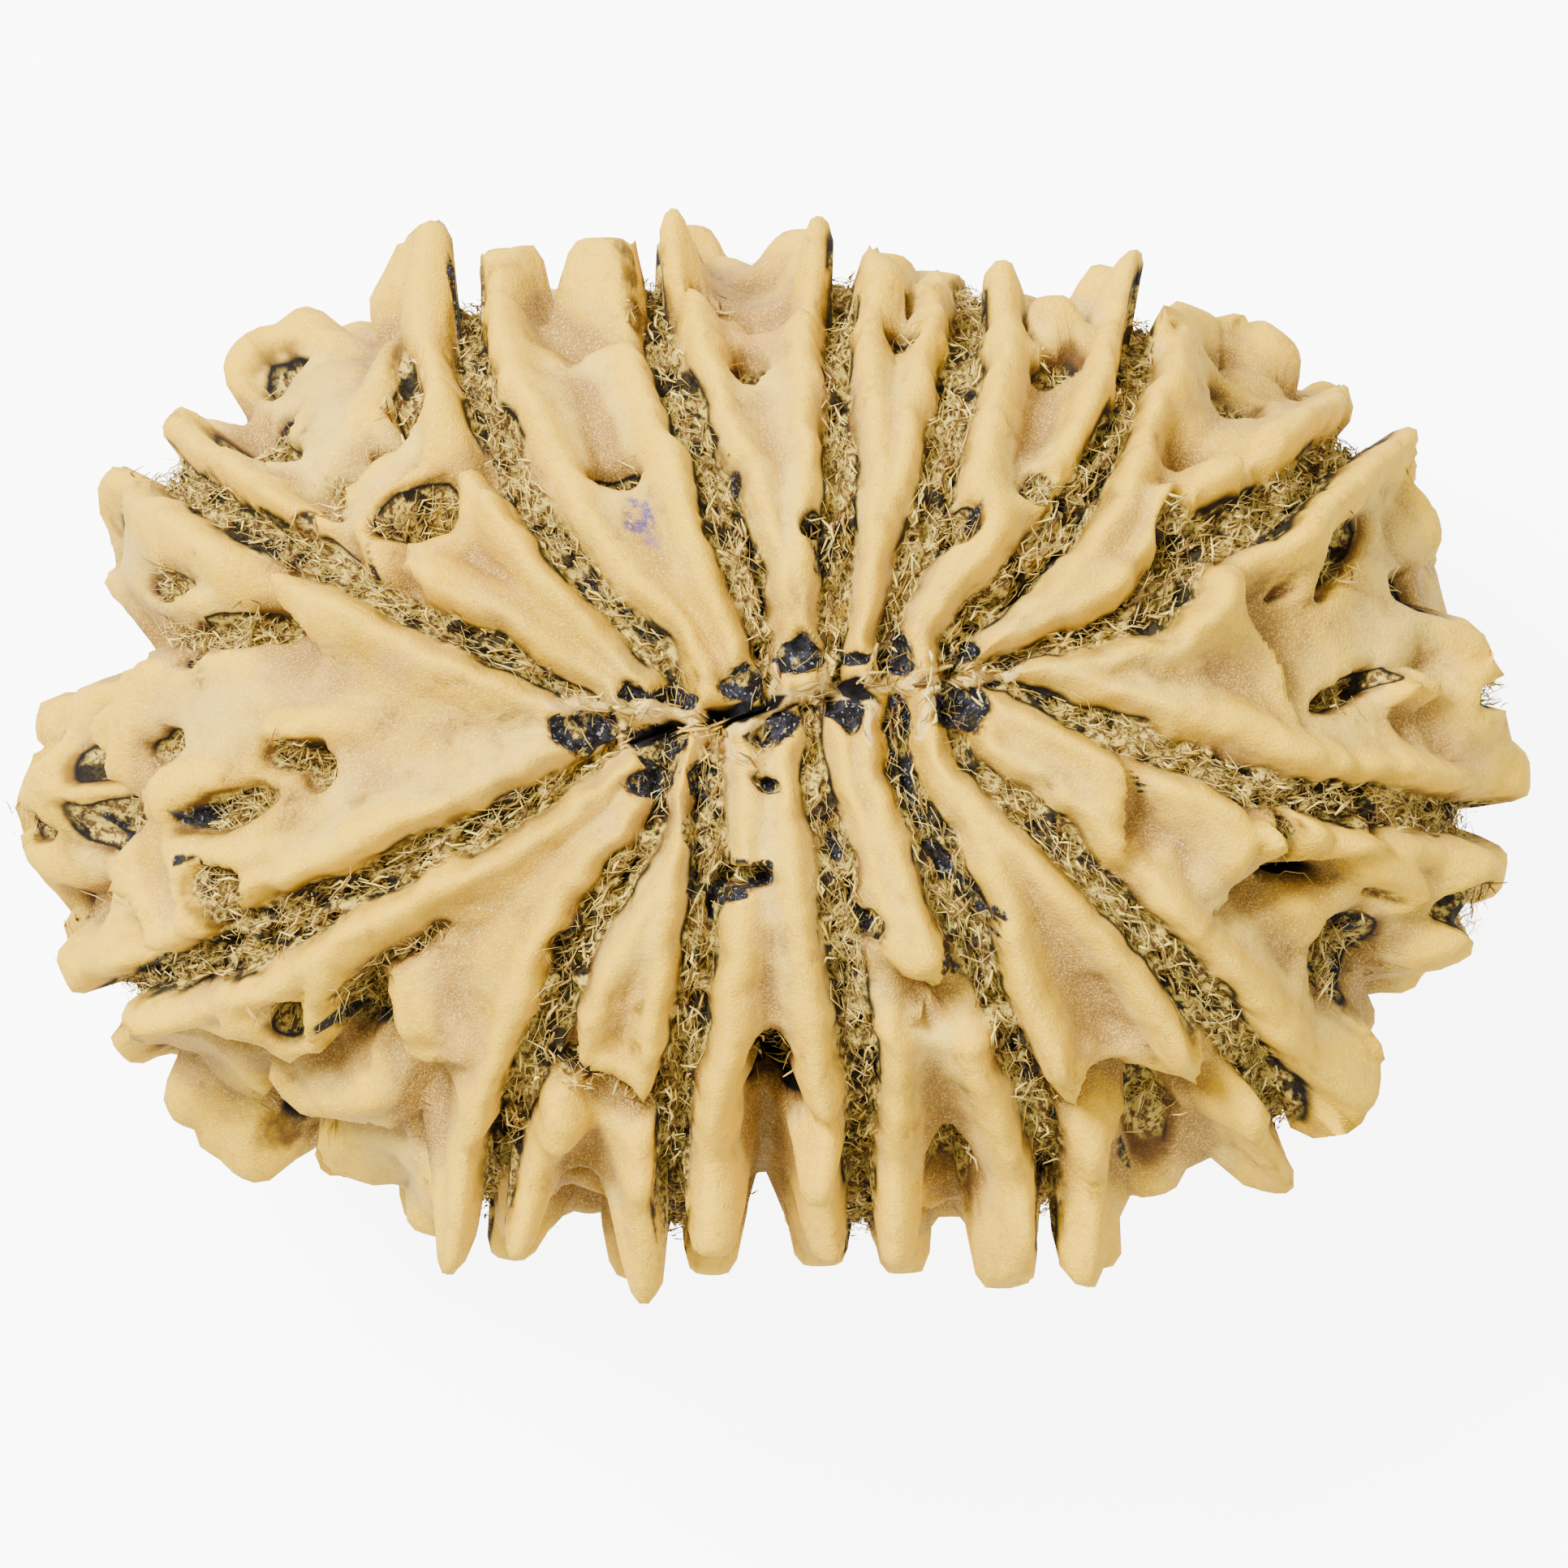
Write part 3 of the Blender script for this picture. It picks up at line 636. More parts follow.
# Where each point of the plain block comes to lie, and how much of each feature there is at it. Heights are
# added up as cubes, so that ridges that cross don't pile up.
def carve(points, forms):
    form = beadForm
    warped = points + form["warp"] * noiseField(points, form["warpSize"], 1)
    warped = warped + form["fineWarp"] * form["warp"] * noiseField(points, form["fretSize"], 2)
    mask = {name: np.zeros(len(points)) for name in ("crest", "hollow", "pit", "dark", "brown", "scar",
                                                     "paper", "resin", "slit", "gap", "purple", "spine")}
    edge = np.full(len(points), form["furrowSeen"])
    for line in forms["furrows"]:
        close, distance, value, _ = nearest(warped, line, form["furrowSeen"])
        edge[close] = np.minimum(edge[close], distance - value)
    edge += form["ragged"] * noiseField(points, form["raggedSize"], 6)[:, 0]
    rise = 1 - np.clip(edge / form["furrowShoulder"], 0, 1)
    sunk = form["furrowDepth"] * (1 - np.sqrt(1 - rise * rise))
    raised = (form["rimHeight"] * bell(np.abs(edge - form["rimInset"]) / form["rimReach"])) ** 3
    for reach, line in forms["ridges"]:
        reach = form["ridgeSpread"] * reach
        close, distance, value, _ = nearest(warped, line, reach)
        raised[close] += (value * dome(distance / reach)) ** 3
    for reach, line in forms["folds"]:
        reach = form["foldSpread"] * reach
        close, distance, value, _ = nearest(warped, line, reach)
        atLeast(mask["hollow"], close, value * bell(distance / reach))
    for reach, line in forms["cliffs"]:
        close, distance, value, left = nearest(warped, line, reach + form["cliffFace"])
        below = distance * left
        drop = (smooth(below / form["cliffFace"] + .5)
                * (1 - smooth((below - form["cliffFace"]) / reach)))
        atLeast(mask["hollow"], close, form["cliffDeeper"] * value * drop)
        lip = bell(np.abs(below + form["lipInset"]) / form["lipReach"])
        raised[close] += (form["cliffLip"] * value * lip) ** 3
    mask["crest"] = np.cbrt(raised)
    mask["hollow"] += form["dishDepth"] * smooth((edge - form["dishFrom"]) / form["dishOver"])
    pitted = np.zeros(len(points))
    for pit in forms["pits"]:
        close, inside = inOval(warped, pit)
        atLeast(pitted, close, pit["depth"] * inside)
        atLeast(mask[pitKind(pit)], close, inside)
    frayed = warped + form["fray"] * noiseField(points, form["fraySize"], 8)
    for scar in forms["scars"]:
        close, inside = inOval(frayed, scar)
        atLeast(pitted, close, scar["depth"] * inside)
        atLeast(mask["scar"], close, inside)
    for kind in ("paper", "resin", "slit", "gap"):
        for reach, line in forms[kind + "s"]:
            close, distance, value, _ = nearest(frayed, line, reach)
            atLeast(mask[kind], close, value * bell(distance / reach))
    for kind in ("brown", "purple"):
        for stain in forms[kind + "Stains"]:
            close, inside = inOval(frayed, stain)
            atLeast(mask[kind], close, stain["depth"] * inside)
    dip = np.zeros(len(points))
    for seam in forms["seams"]:
        close, distance, _, _ = nearest(points, seam, 3 * form["seamReach"])
        atLeast(dip, close, form["seamDip"] * np.exp(-(distance / form["seamReach"]) ** 2))
    lobeShare = 1 - sunk / form["furrowDepth"]
    shares = []
    for root, _, _, reach in forms["spines"]:
        off = np.linalg.norm(warped - root, axis=1)
        shares.append(lobeShare ** form["spineNarrowing"] * finger(off / (form["spineSpread"] * reach)))
        mask["spine"] = np.maximum(mask["spine"], shares[-1])
    free = 1 - np.minimum(1, form["spineClearance"] * mask["spine"])
    pitted *= free
    for kind in ("pit", "dark", "brown"):
        mask[kind] *= free
    lumps = 1 + form["matLump"] * noiseField(points, form["matSize"], 9)[:, 0]
    matted = smooth((form["matFrom"] - lobeShare) / form["matFrom"])
    unsoaked = 1 - form["soak"] * np.minimum(1, form["soakSpread"] * mask["resin"])
    mat = form["mat"] * lumps * matted * unsoaked
    swell = form["swell"] * noiseField(points, form["swellSize"], 3)[:, 0]
    fret = form["fret"] * noiseField(points, form["fretSize"], 4)[:, 0]
    height = (lobeShare * (mask["crest"] - mask["hollow"] + swell)
              - np.maximum(sunk - mat, pitted) - dip + fret
              + form["paperLift"] * mask["paper"] - form["slitDepth"] * mask["slit"]
              - form["gapDepth"] * mask["gap"])
    moved = points + blockNormal(points) * height[:, None]
    pull = np.zeros(points.shape)
    for (_, start, push, _), share in zip(forms["spines"], shares):
        pull += (share * (1 - (moved - start) @ push / (push @ push)))[:, None] * push
    moved += pull / np.maximum(sum(shares, np.zeros(len(points))), 1)[:, None]
    mask["edge"] = np.clip(edge, -1, 1)
    return moved, mask


def columnPlaces(count):  # a lobe and a share across it for each column, from the middle of the right end
    weights = np.array([lobe["columns"] for lobe in lobes], float)
    half = weights[-1] / 2
    whole = np.linspace(0, weights.sum(), count + 1) - half
    whole = np.where(whole < 0, whole + weights.sum(), whole)
    starts = np.concatenate([[0], np.cumsum(weights)])
    lobe = np.clip(np.searchsorted(starts, whole, side="right") - 1, 0, len(weights) - 1)
    even = (whole - starts[lobe]) / weights[lobe]
    return lobe, mix(even, (1 - np.cos(np.pi * even)) / 2, beadForm["columnCrowding"])


def gridOnBlock():
    columns, upper, lower = beadForm["columns"], beadForm["upperRows"], beadForm["lowerRows"]
    lobe, across = columnPlaces(columns)
    turn = np.concatenate([np.linspace(0, .5, upper + 1), np.linspace(.5, 1, lower + 1)[1:]])
    onSeam = (1 - np.cos(2 * np.pi * np.arange(columns + 1) / columns)) / 2
    left, right = np.array(beadForm["seamEnds"])
    seam = mix(right, left, onSeam[:, None])
    points = np.zeros((len(turn), columns + 1, 3))
    for row, t in enumerate(turn):
        side = 1 if t <= .5 else -1
        if row in (0, len(turn) - 1):
            points[row] = onBlock(seam[:, 0], seam[:, 1], side)
            continue
        for number in range(len(lobes)):
            here = lobe == number
            x, y = inLobe(number, across[here], math.sin(math.pi * t), side)
            points[row, here] = onBlock(x, y, side)
    return points


forms = allForms()
places = gridOnBlock()
carved, masks = carve(places.reshape(-1, 3), forms)
lowest, highest = carved.min(0), carved.max(0)
restShift = np.array([(lowest[0] + highest[0]) / 2, (lowest[1] + highest[1]) / 2,
                      lowest[2] + beadForm["restDepth"]])


def settle(points):  # from the block's own middle to the frame, blunted where it rests
    moved = points - restShift
    moved[:, 2] = np.maximum(moved[:, 2], 0)
    return moved * mm


def reliefOf(places, points):  # how far each point stands above the ground around it
    height = np.einsum("ij,ij->i", points - places.reshape(-1, 3), blockNormal(places.reshape(-1, 3)))
    height = height.reshape(places.shape[:2])
    ground = height[:, :-1]
    for _ in range(beadForm["reliefSteps"]):
        ground = (np.roll(ground, 1, 1) + ground + np.roll(ground, -1, 1)) / 3
        padded = np.concatenate([ground[:1], ground, ground[-1:]])
        ground = (padded[:-2] + padded[1:-1] + padded[2:]) / 3
    return (height - np.column_stack([ground, ground[:, 0]])).ravel()


def addObject(name, data):
    obj = bpy.data.objects.new(name, data)
    bpy.context.scene.collection.objects.link(obj)
    return obj


def meshFrom(bm, name):
    mesh = bpy.data.meshes.new(name)
    bm.to_mesh(mesh)
    bm.free()
    return mesh


def cornersOf(mesh):
    corners = np.zeros(len(mesh.vertices) * 3)
    mesh.vertices.foreach_get("co", corners)
    return corners.reshape(-1, 3)


def addValues(mesh, name, values):
    mesh.attributes.new(name, "FLOAT", "POINT").data.foreach_set("value", values)


def makeBead():
    masks["relief"] = reliefOf(places, carved)
    rows, columns = places.shape[0] - 1, places.shape[1] - 1
    bm = bmesh.new()
    bmesh.ops.create_grid(bm, x_segments=columns, y_segments=rows, size=1)
    mesh = meshFrom(bm, "bead_stone")
    spots = cornersOf(mesh)
    column = np.rint((spots[:, 0] + 1) / 2 * columns).astype(int)
    row = np.rint((spots[:, 1] + 1) / 2 * rows).astype(int)
    order = row * (columns + 1) + column
    mesh.vertices.foreach_set("co", settle(carved)[order].ravel())
    for name, values in masks.items():
        addValues(mesh, name, values[order])
    bm = bmesh.new()
    bm.from_mesh(mesh)
    bmesh.ops.remove_doubles(bm, verts=bm.verts[:], dist=1e-7)
    bmesh.ops.recalc_face_normals(bm, faces=bm.faces[:])
    for face in bm.faces:
        face.smooth = True
    bm.to_mesh(mesh)
    bm.free()
    print("stone made:", len(mesh.vertices), "points")
    return addObject("bead_stone", mesh)


# The dry fibre: strands in the furrows, pits, scars and gaps. Densities are strands for a square millimetre,
# but in furrows for a millimetre of one that is as wide as plainWidth to each side.
fibreForm = {
    "seed": 5, "furrowDensity": 50, "lowerFurrowDensity": 24, "plainWidth": .3,
    "pitDensity": 100, "lowerPitDensity": 30, "scarDensity": 7, "gapDensity": 150,
    "length": (.15, .85), "radius": (.007, .05), "flat": .35, "bend": .16,
    "furrowLift": (-.05, .28), "pitLift": (.0, .4), "scarLift": (-.02, .1),
    "furrowTurn": .5, "furrowTilt": .25, "pitTilt": .2, "pitCross": .7, "pitEdge": .9, "gapSpread": .4,
    "samples": 60, "tries": 3, "widest": .5, "ahead": .2, "upperFrom": .5,
    "clear": {"spine": .12, "slit": .3, "resin": .5},   # no strands where there is more of these
}


def strandBundle(name, count):
    bm = bmesh.new()
    bmesh.ops.create_cone(bm, cap_ends=True, segments=3, radius1=1, radius2=1, depth=1)
    sides = [e for e in bm.edges if abs(e.verts[0].co.z - e.verts[1].co.z) > .5]
    bmesh.ops.subdivide_edges(bm, edges=sides, cuts=1, use_grid_fill=True)
    perStrand = len(bm.verts)
    while len(bm.verts) < perStrand * count:
        bmesh.ops.duplicate(bm, geom=bm.verts[:] + bm.edges[:] + bm.faces[:])
    bm.verts.ensure_lookup_table()
    bmesh.ops.delete(bm, geom=bm.verts[perStrand * count:], context="VERTS")
    return meshFrom(bm, name), perStrand


def unit(vectors):
    return vectors / np.maximum(np.linalg.norm(vectors, axis=-1, keepdims=True), 1e-9)


# The thickest strands are shorter and flatter than the thin ones. All taper towards their ends.
strandForm = {"shorter": .4, "tip": .45, "liftedBend": .5}


def makeStrands(name, centres, normals, ways, rng, form):
    count = len(centres)
    mesh, perStrand = strandBundle(name, count)
    local = cornersOf(mesh).reshape(count, perStrand, 3)
    wide = rng.uniform(0, 1, count) ** 3
    length = rng.uniform(*form["length"], count) * (1 - strandForm["shorter"] * wide)
    radius = mix(*form["radius"], wide)
    bend = rng.normal(0, form["bend"], (count, 2)) * length[:, None]
    ways = unit(ways)
    lift = unit(np.cross(ways, np.cross(normals, ways)))
    sideways = np.cross(ways, lift)
    along = local[..., 2:3] * length[:, None, None] * ways[:, None, :]
    bow = 1 - 4 * local[..., 2:3] ** 2
    taper = radius[:, None, None] * mix(strandForm["tip"], 1, bow)
    bowed = bow * (bend[:, None, :1] * sideways[:, None, :]
                   + bend[:, None, 1:] * strandForm["liftedBend"] * lift[:, None, :])
    ring = taper * (local[..., 0:1] * sideways[:, None, :]
                    + mix(1, form["flat"], wide)[:, None, None] * local[..., 1:2] * lift[:, None, :])
    points = centres[:, None, :] + along + bowed + ring
    mesh.vertices.foreach_set("co", settle(points.reshape(-1, 3)).ravel())
    addValues(mesh, "tone", np.repeat(rng.uniform(0, 1, count), perStrand))
    for polygon in mesh.polygons:
        polygon.use_smooth = True
    print(name, "made:", count, "strands")
    return addObject(name, mesh)


def furrowFibres(lines, density):
    rng = np.random.default_rng(fibreForm["seed"])
    bases, ways, lifts = [], [], []
    for line in lines:
        reached = np.concatenate([[0], np.cumsum(np.linalg.norm(np.diff(line[:, :3], axis=0), axis=1))])

        def placeAt(distance):
            return np.column_stack([np.interp(distance, reached, line[:, k]) for k in range(3)])

        widths = np.interp(np.linspace(0, reached[-1], fibreForm["samples"]), reached, line[:, 3])
        count = int(density * reached[-1] * widths.mean() / fibreForm["plainWidth"])
        along = rng.uniform(0, 1, count * fibreForm["tries"]) * reached[-1]
        width = np.interp(along, reached, line[:, 3])
        keep = rng.uniform(0, fibreForm["widest"], len(along)) < width
        along, width = along[keep][:count], width[keep][:count]
        spot = placeAt(along)
        way = unit(placeAt(along + fibreForm["ahead"]) - placeAt(along - fibreForm["ahead"]))
        normal = blockNormal(spot)
        across = np.cross(normal, way)
        spot = spot + across * (rng.uniform(-1, 1, len(spot)) * width)[:, None]
        turn = rng.normal(0, fibreForm["furrowTurn"], len(spot))[:, None]
        tilt = rng.normal(0, fibreForm["furrowTilt"], (len(spot), 1))
        bases.append(spot)
        ways.append(way * np.cos(turn) + across * np.sin(turn) + normal * tilt)
        lifts.append(rng.uniform(*fibreForm["furrowLift"], len(spot)))
    return np.concatenate(bases), np.concatenate(ways), np.concatenate(lifts), rng


def ovalDensity(kind, oval):
    if kind == "scars":
        return fibreForm["scarDensity"]
    upper = oval["centre"][2] > fibreForm["upperFrom"]
    pitDensity = fibreForm["pitDensity" if upper else "lowerPitDensity"]
    return {"dark": fibreForm["lowerPitDensity"], "pit": pitDensity, "brown": 0}[pitKind(oval)]


def pitFibres():
    rng = np.random.default_rng(fibreForm["seed"] + 1)
    bases, ways, lifts = [], [], []
    for kind, liftName in (("pits", "pitLift"), ("scars", "scarLift")):
        for oval in forms[kind]:
            count = int(ovalDensity(kind, oval) * math.pi * oval["long"] * oval["wide"])
            turn = rng.uniform(0, 2 * np.pi, count)
            far = np.sqrt(rng.uniform(0, fibreForm["pitEdge"], count))
            bases.append(oval["centre"] + (oval["long"] * far * np.cos(turn))[:, None] * oval["lengthways"]
                         + (oval["wide"] * far * np.sin(turn))[:, None] * oval["crossways"])
            heading = rng.uniform(0, 2 * np.pi, count)
            ways.append(np.cos(heading)[:, None] * oval["lengthways"]
                        + fibreForm["pitCross"] * np.sin(heading)[:, None] * oval["crossways"]
                        + rng.normal(0, fibreForm["pitTilt"], (count, 1)) * oval["normal"])
            lifts.append(rng.uniform(*fibreForm[liftName], count))
    for reach, line in forms["gaps"]:
        for a, b in zip(line[:-1], line[1:]):
            count = int(fibreForm["gapDensity"] * reach * np.linalg.norm(b[:3] - a[:3]))
            inLine = mix(a[:3], b[:3], rng.uniform(0, 1, (count, 1)))
            bases.append(inLine + rng.normal(0, fibreForm["gapSpread"] * reach, (count, 3)))
            ways.append(rng.normal(0, 1, (count, 3)))
            lifts.append(rng.uniform(*fibreForm["pitLift"], count))
    return np.concatenate(bases), np.concatenate(ways), np.concatenate(lifts), rng


# Flakes of the papery skin along the upper seam. The density is flakes for a millimetre of skin.
flakeForm = {"seed": 9, "density": 9, "spread": .13, "length": (.15, .8), "radius": (.01, .12), "flat": .12,
             "bend": .12, "lift": (.0, .15), "turn": .45, "turnShares": (1, 1, .3)}


def seamFlakes():
    rng = np.random.default_rng(flakeForm["seed"])
    bases, ways = [], []
    for _, line in forms["papers"]:
        for a, b in zip(line[:-1], line[1:]):
            count = int(flakeForm["density"] * np.linalg.norm(b[:3] - a[:3]) * a[3] + rng.uniform(0, 1))
            share = rng.uniform(0, 1, (count, 1))
            bases.append(mix(a[:3], b[:3], share) + rng.normal(0, flakeForm["spread"], (count, 3)))
            turn = rng.normal(0, flakeForm["turn"], (count, 3)) * flakeForm["turnShares"]
            ways.append(unit(b[:3] - a[:3]) + turn)
    bases, ways = np.concatenate(bases), np.concatenate(ways)
    return bases, ways, rng.uniform(*flakeForm["lift"], len(bases)), rng, flakeForm


def backOnBlock(points):  # slides points that left the plain block back onto it
    n = beadForm["squareness"]
    share = (np.abs(points / size) ** n).sum(1)
    return points * (share ** (-1 / n))[:, None]


def makeFibres(name, bases, ways, lifts, rng, form=fibreForm):
    bases = backOnBlock(bases)
    ground, mask = carve(bases, forms)
    clear = np.all([mask[kind] < limit for kind, limit in fibreForm["clear"].items()], axis=0)
    normals = blockNormal(bases)[clear]
    return makeStrands(name, ground[clear] + normals * lifts[clear, None], normals, ways[clear], rng, form)


# Materials. Colours are given as a screen shows them and made linear.
def srgb(*rgb):
    return [((c / 255 + .055) / 1.055) ** 2.4 if c > 10 else c / 255 / 12.92 for c in rgb] + [1]


stoneLook = {
    "flat": srgb(210, 164, 10), "flatPale": srgb(230, 193, 80), "crest": srgb(242, 190, 0),
    "hollow": srgb(152, 114, 58), "rosy": srgb(196, 150, 88), "sand": srgb(244, 216, 96),
    "ochre": srgb(184, 136, 44), "speck": srgb(120, 78, 32), "glint": srgb(250, 242, 222),
    "brown": srgb(78, 46, 20), "black": srgb(20, 17, 18), "char": srgb(46, 46, 52),
    "charGlint": srgb(150, 150, 150), "purple": srgb(84, 74, 128), "pulp": srgb(92, 66, 36),
    "pulpPale": srgb(208, 184, 84), "paper": srgb(236, 200, 110),
    "roughness": .62, "gloss": .12, "bump": .5, "bumpHeight": .1 * mm,
}
# The grains of the stone: scale, detail and roughness of each.
stoneGrains = {
    "coarse": (260, 3, .55), "blotch": (420, 4, .55), "wall": (500, 4, .55), "middle": (900, 3, .55),
    "clot": (1300, 4, .55), "crumb": (1700, 3, .55), "cloud": (2300, 5, .65), "fine": (4200, 5, .7),
    "mat": (7000, 4, .65), "spark": (11000, 2, .55), "tooth": (15000, 3, .65), "glitter": (16000, 2, .55),
    "sandGrain": (24000, 2, .6),
}
# The coats of the stone, each over the last: what it is, and where it lies. A place is the name of a grain or
# a feature, the values where the coat begins and where it is full, and its share there.
stoneCoats = [
    ["flatPale", ["coarse", .4, .6, 1]],
    ["rosy", ["blotch", .46, .66, .6]],
    ["hollow", ["middle", .48, .7, .4]],
    ["crest", ["high", .3, .9, .5]],
    ["hollow", ["hollow", .2, .8, .6]],
    ["crest", ["relief", .05, .3, .9]],
    ["hollow", ["relief", -.02, -.32, .95]],
    ["ochre", ["cloud", .5, .66, .35]],
    ["sand", ["sandGrain", .48, .66, .5]],
    ["speck", ["fine", .64, .74, .6]],
    ["glint", ["glitter", .68, .74, .7]],
    ["purple", ["purple", .1, .8, .9], ["fine", .4, .56, 1]],
    ["brown", ["brown", .2, .8, .85], ["fine", .3, .55, 1]],
    ["brown", ["pit", .08, .4, 1], ["middle", .38, .6, .85]],
    ["black", ["pit", .38, .48, 1], ["coarse", .46, .53, 1]],
    ["pulpMat", ["pit", .48, .68, 1]],
    ["brown", ["dark", .08, .4, 1], ["middle", .38, .6, .85]],
    ["black", ["dark", .38, .5, 1], ["coarse", .46, .53, 1]],
    ["black", ["dark", .5, .7, 1]],
    ["brown", ["gap", .1, .4, 1], ["middle", .4, .55, 1]],
    ["pulpMat", ["gap", .3, .6, 1], ["fine", .3, .45, 1]],
    ["brown", ["edge", .2, .06, 1], ["middle", .4, .6, .7]],
    ["black", ["edge", .14, .07, 1], ["wall", .5, .57, 1]],
    ["pulpMat", ["edge", .08, 0, 1]],
    ["crust", ["resin", .2, .5, 1], ["fine", .3, .45, 1]],
    ["brown", ["scarEdge", .05, .35, 1], ["fine", .4, .6, 1]],
    ["crust", ["scarEdge", .3, .45, 1]],
    ["paper", ["paperEdge", .25, .5, 1]],
    ["black", ["slit", .3, .6, 1]],
]
# The matted pulp and the black crust have coats of their own.
pulpCoats = [["pulpPale", ["mat", .42, .58, 1]], ["black", ["clot", .51, .58, .95]]]
crustCoats = [["char", ["fine", .45, .6, 1]], ["charGlint", ["spark", .6, .68, .8]],
              ["pulpMat", ["crumb", .52, .6, .8]]]
strandLook = {"brown": (.15, srgb(108, 78, 38)), "pale": (.95, srgb(246, 224, 128)),
              "straw": (.5, srgb(206, 172, 74)), "roughness": .7, "gloss": .3}


def newMaterial(name, roughness):
    material = bpy.data.materials.new(name)
    material.use_nodes = True
    tree = material.node_tree
    shader = tree.nodes["Principled BSDF"]
    shader.inputs["Roughness"].default_value = roughness

    def add(kind, inputs=None, **values):
        node = tree.nodes.new(kind)
        for key, value in values.items():
            setattr(node, key, value)
        for key, value in (inputs or {}).items():
            if isinstance(value, bpy.types.NodeSocket):
                tree.links.new(value, node.inputs[key])
            else:
                node.inputs[key].default_value = value
        return node
    return material, shader, add, tree.links.new


def stoneMaterial():
    look = stoneLook
    material, shader, add, link = newMaterial("stone", look["roughness"])
    shader.inputs["Specular IOR Level"].default_value = look["gloss"]
    place = add("ShaderNodeTexCoord").outputs["Object"]

    def both(a, b, operation="MULTIPLY"):
        return add("ShaderNodeMath", {0: a, 1: b}, operation=operation).outputs["Value"]

    def grain(scale, detail, roughness):
        inputs = {"Vector": place, "Scale": scale, "Detail": detail, "Roughness": roughness}
        return add("ShaderNodeTexNoise", inputs).outputs["Fac"]

    def ramp(name, low, high, top):
        inputs = {"Value": sources[name], "From Min": low, "From Max": high, "To Max": top}
        return add("ShaderNodeMapRange", inputs, interpolation_type="SMOOTHSTEP").outputs["Result"]

    def roughened(feature, grainName, strength):
        return both(feature, both(both(sources[grainName], -.5, "ADD"), strength), "ADD")

    def paint(colour, coats):
        for name, *where in coats:
            share = ramp(*where[0])
            if len(where) > 1:
                share = both(share, ramp(*where[1]))
            inputs = {0: share, 6: colour, 7: colours[name]}
            colour = add("ShaderNodeMix", inputs, data_type="RGBA").outputs[2]
        return colour

    sources = {name: grain(*values) for name, values in stoneGrains.items()}
    for name in masks:
        sources[name] = add("ShaderNodeAttribute", attribute_name=name).outputs["Fac"]
    sources["high"] = both(sources["crest"], both(sources["spine"], .6), "MAXIMUM")
    sources["scarEdge"] = roughened(sources["scar"], "middle", .9)
    sources["paperEdge"] = roughened(sources["paper"], "fine", 1.2)
    colours = {name: value for name, value in look.items() if isinstance(value, list)}
    colours["pulpMat"] = paint(look["pulp"], pulpCoats)
    colours["crust"] = paint(look["black"], crustCoats)
    link(paint(look["flat"], stoneCoats), shader.inputs["Base Color"])
    height = both(both(sources["fine"], sources["tooth"], "ADD"), both(sources["middle"], .8), "ADD")
    bump = add("ShaderNodeBump", {"Strength": look["bump"], "Distance": look["bumpHeight"], "Height": height})
    link(bump.outputs["Normal"], shader.inputs["Normal"])
    return material


def strandMaterial():
    look = strandLook
    material, shader, add, link = newMaterial("straw_fibre", look["roughness"])
    shader.inputs["Specular IOR Level"].default_value = look["gloss"]
    tone = add("ShaderNodeAttribute", attribute_name="tone").outputs["Fac"]
    ramp = add("ShaderNodeValToRGB", {"Fac": tone})
    stops = ramp.color_ramp.elements
    for stop, name in zip(stops, ("brown", "pale")):
        stop.position, stop.color = look[name]
    stops.new(look["straw"][0]).color = look["straw"][1]
    link(ramp.outputs["Color"], shader.inputs["Base Color"])
    return material


# The stage: floor, light and camera. The photograph looks straight down on the upper pole.
stageForm = {
    "floorHalf": .6, "floorWhite": (.9, .9, .9, 1), "floorRoughness": .9, "floorGlow": 7.0, "sky": .8,
    "frameWide": 31.16 * mm, "frameCentre": (.24 * mm, -.56 * mm), "girth": 10 * mm,
    "lens": 600, "sensor": 36, "farthest": 5,
    "lampAim": (0, 0, .01),
    "lamps": {"key": {"spot": (-.13, .12, .28), "wide": .12, "power": 3.2},
              "fill": {"spot": (.2, -.12, .22), "wide": .2, "power": .4}},
}


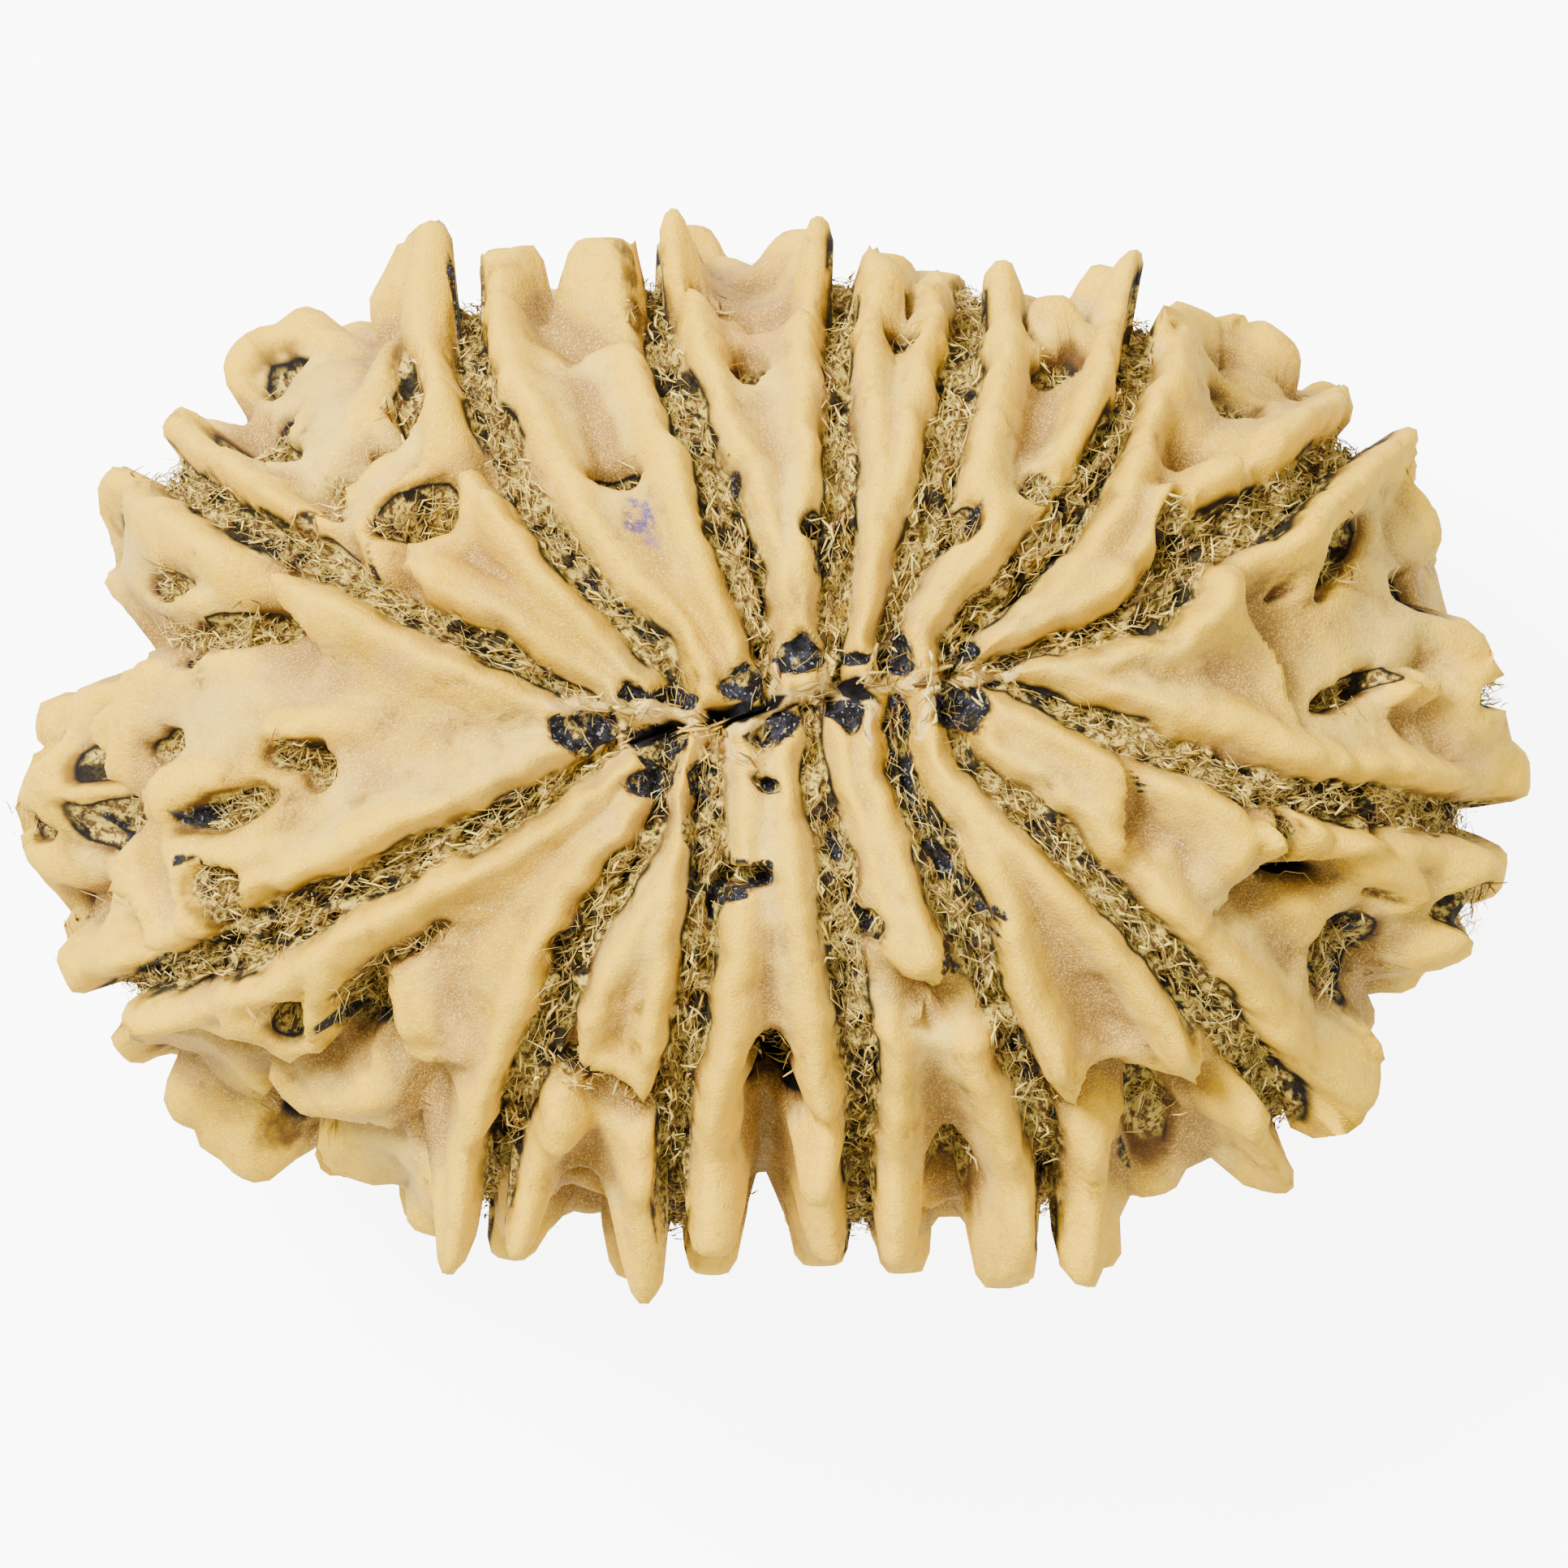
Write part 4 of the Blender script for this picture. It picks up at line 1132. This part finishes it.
def makeStage():
    white = (1, 1, 1, 1)
    bm = bmesh.new()
    bmesh.ops.create_grid(bm, x_segments=1, y_segments=1, size=stageForm["floorHalf"])
    floor = addObject("floor", meshFrom(bm, "floor"))
    paint, shader, add, link = newMaterial("floor_white", stageForm["floorRoughness"])
    shader.inputs["Base Color"].default_value = stageForm["floorWhite"]
    shader.inputs["Emission Color"].default_value = white
    seen = add("ShaderNodeLightPath").outputs["Is Camera Ray"]
    glow = add("ShaderNodeMath", {0: seen, 1: stageForm["floorGlow"]}, operation="MULTIPLY")
    link(glow.outputs["Value"], shader.inputs["Emission Strength"])
    floor.data.materials.append(paint)
    world = bpy.data.worlds.new("soft_white")
    world.use_nodes = True
    world.node_tree.nodes["Background"].inputs["Color"].default_value = white
    world.node_tree.nodes["Background"].inputs["Strength"].default_value = stageForm["sky"]
    bpy.context.scene.world = world
    for name, lamp in stageForm["lamps"].items():
        light = bpy.data.lights.new(name, "AREA")
        light.size = lamp["wide"]
        light.energy = lamp["power"]
        held = addObject(name, light)
        held.location = lamp["spot"]
        aim = Vector(stageForm["lampAim"]) - Vector(lamp["spot"])
        held.rotation_euler = aim.to_track_quat("-Z", "Y").to_euler()
    camera = bpy.data.cameras.new("camera")
    camera.lens = stageForm["lens"]
    camera.sensor_width = stageForm["sensor"]
    camera.clip_end = stageForm["farthest"]
    eye = addObject("camera", camera)
    distance = stageForm["frameWide"] * camera.lens / camera.sensor_width
    eye.location = (*stageForm["frameCentre"], stageForm["girth"] + distance)
    bpy.context.scene.camera = eye
    print("stage set")


stone = makeBead()
stone.data.materials.append(stoneMaterial())
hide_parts("bead")
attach(stone, "root")
straw = strandMaterial()
upperFibres = furrowFibres(forms["furrows"][:len(furrows)], fibreForm["furrowDensity"])
lowerFibres = furrowFibres(forms["furrows"][len(furrows):], fibreForm["lowerFurrowDensity"])
for name, draft in (("furrow_fibre", upperFibres), ("lower_fibre", lowerFibres),
                    ("pit_fibre", pitFibres()), ("seam_skin", seamFlakes())):
    fibre = makeFibres(name, *draft)
    fibre.data.materials.append(straw)
    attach(fibre, "root")
makeStage()
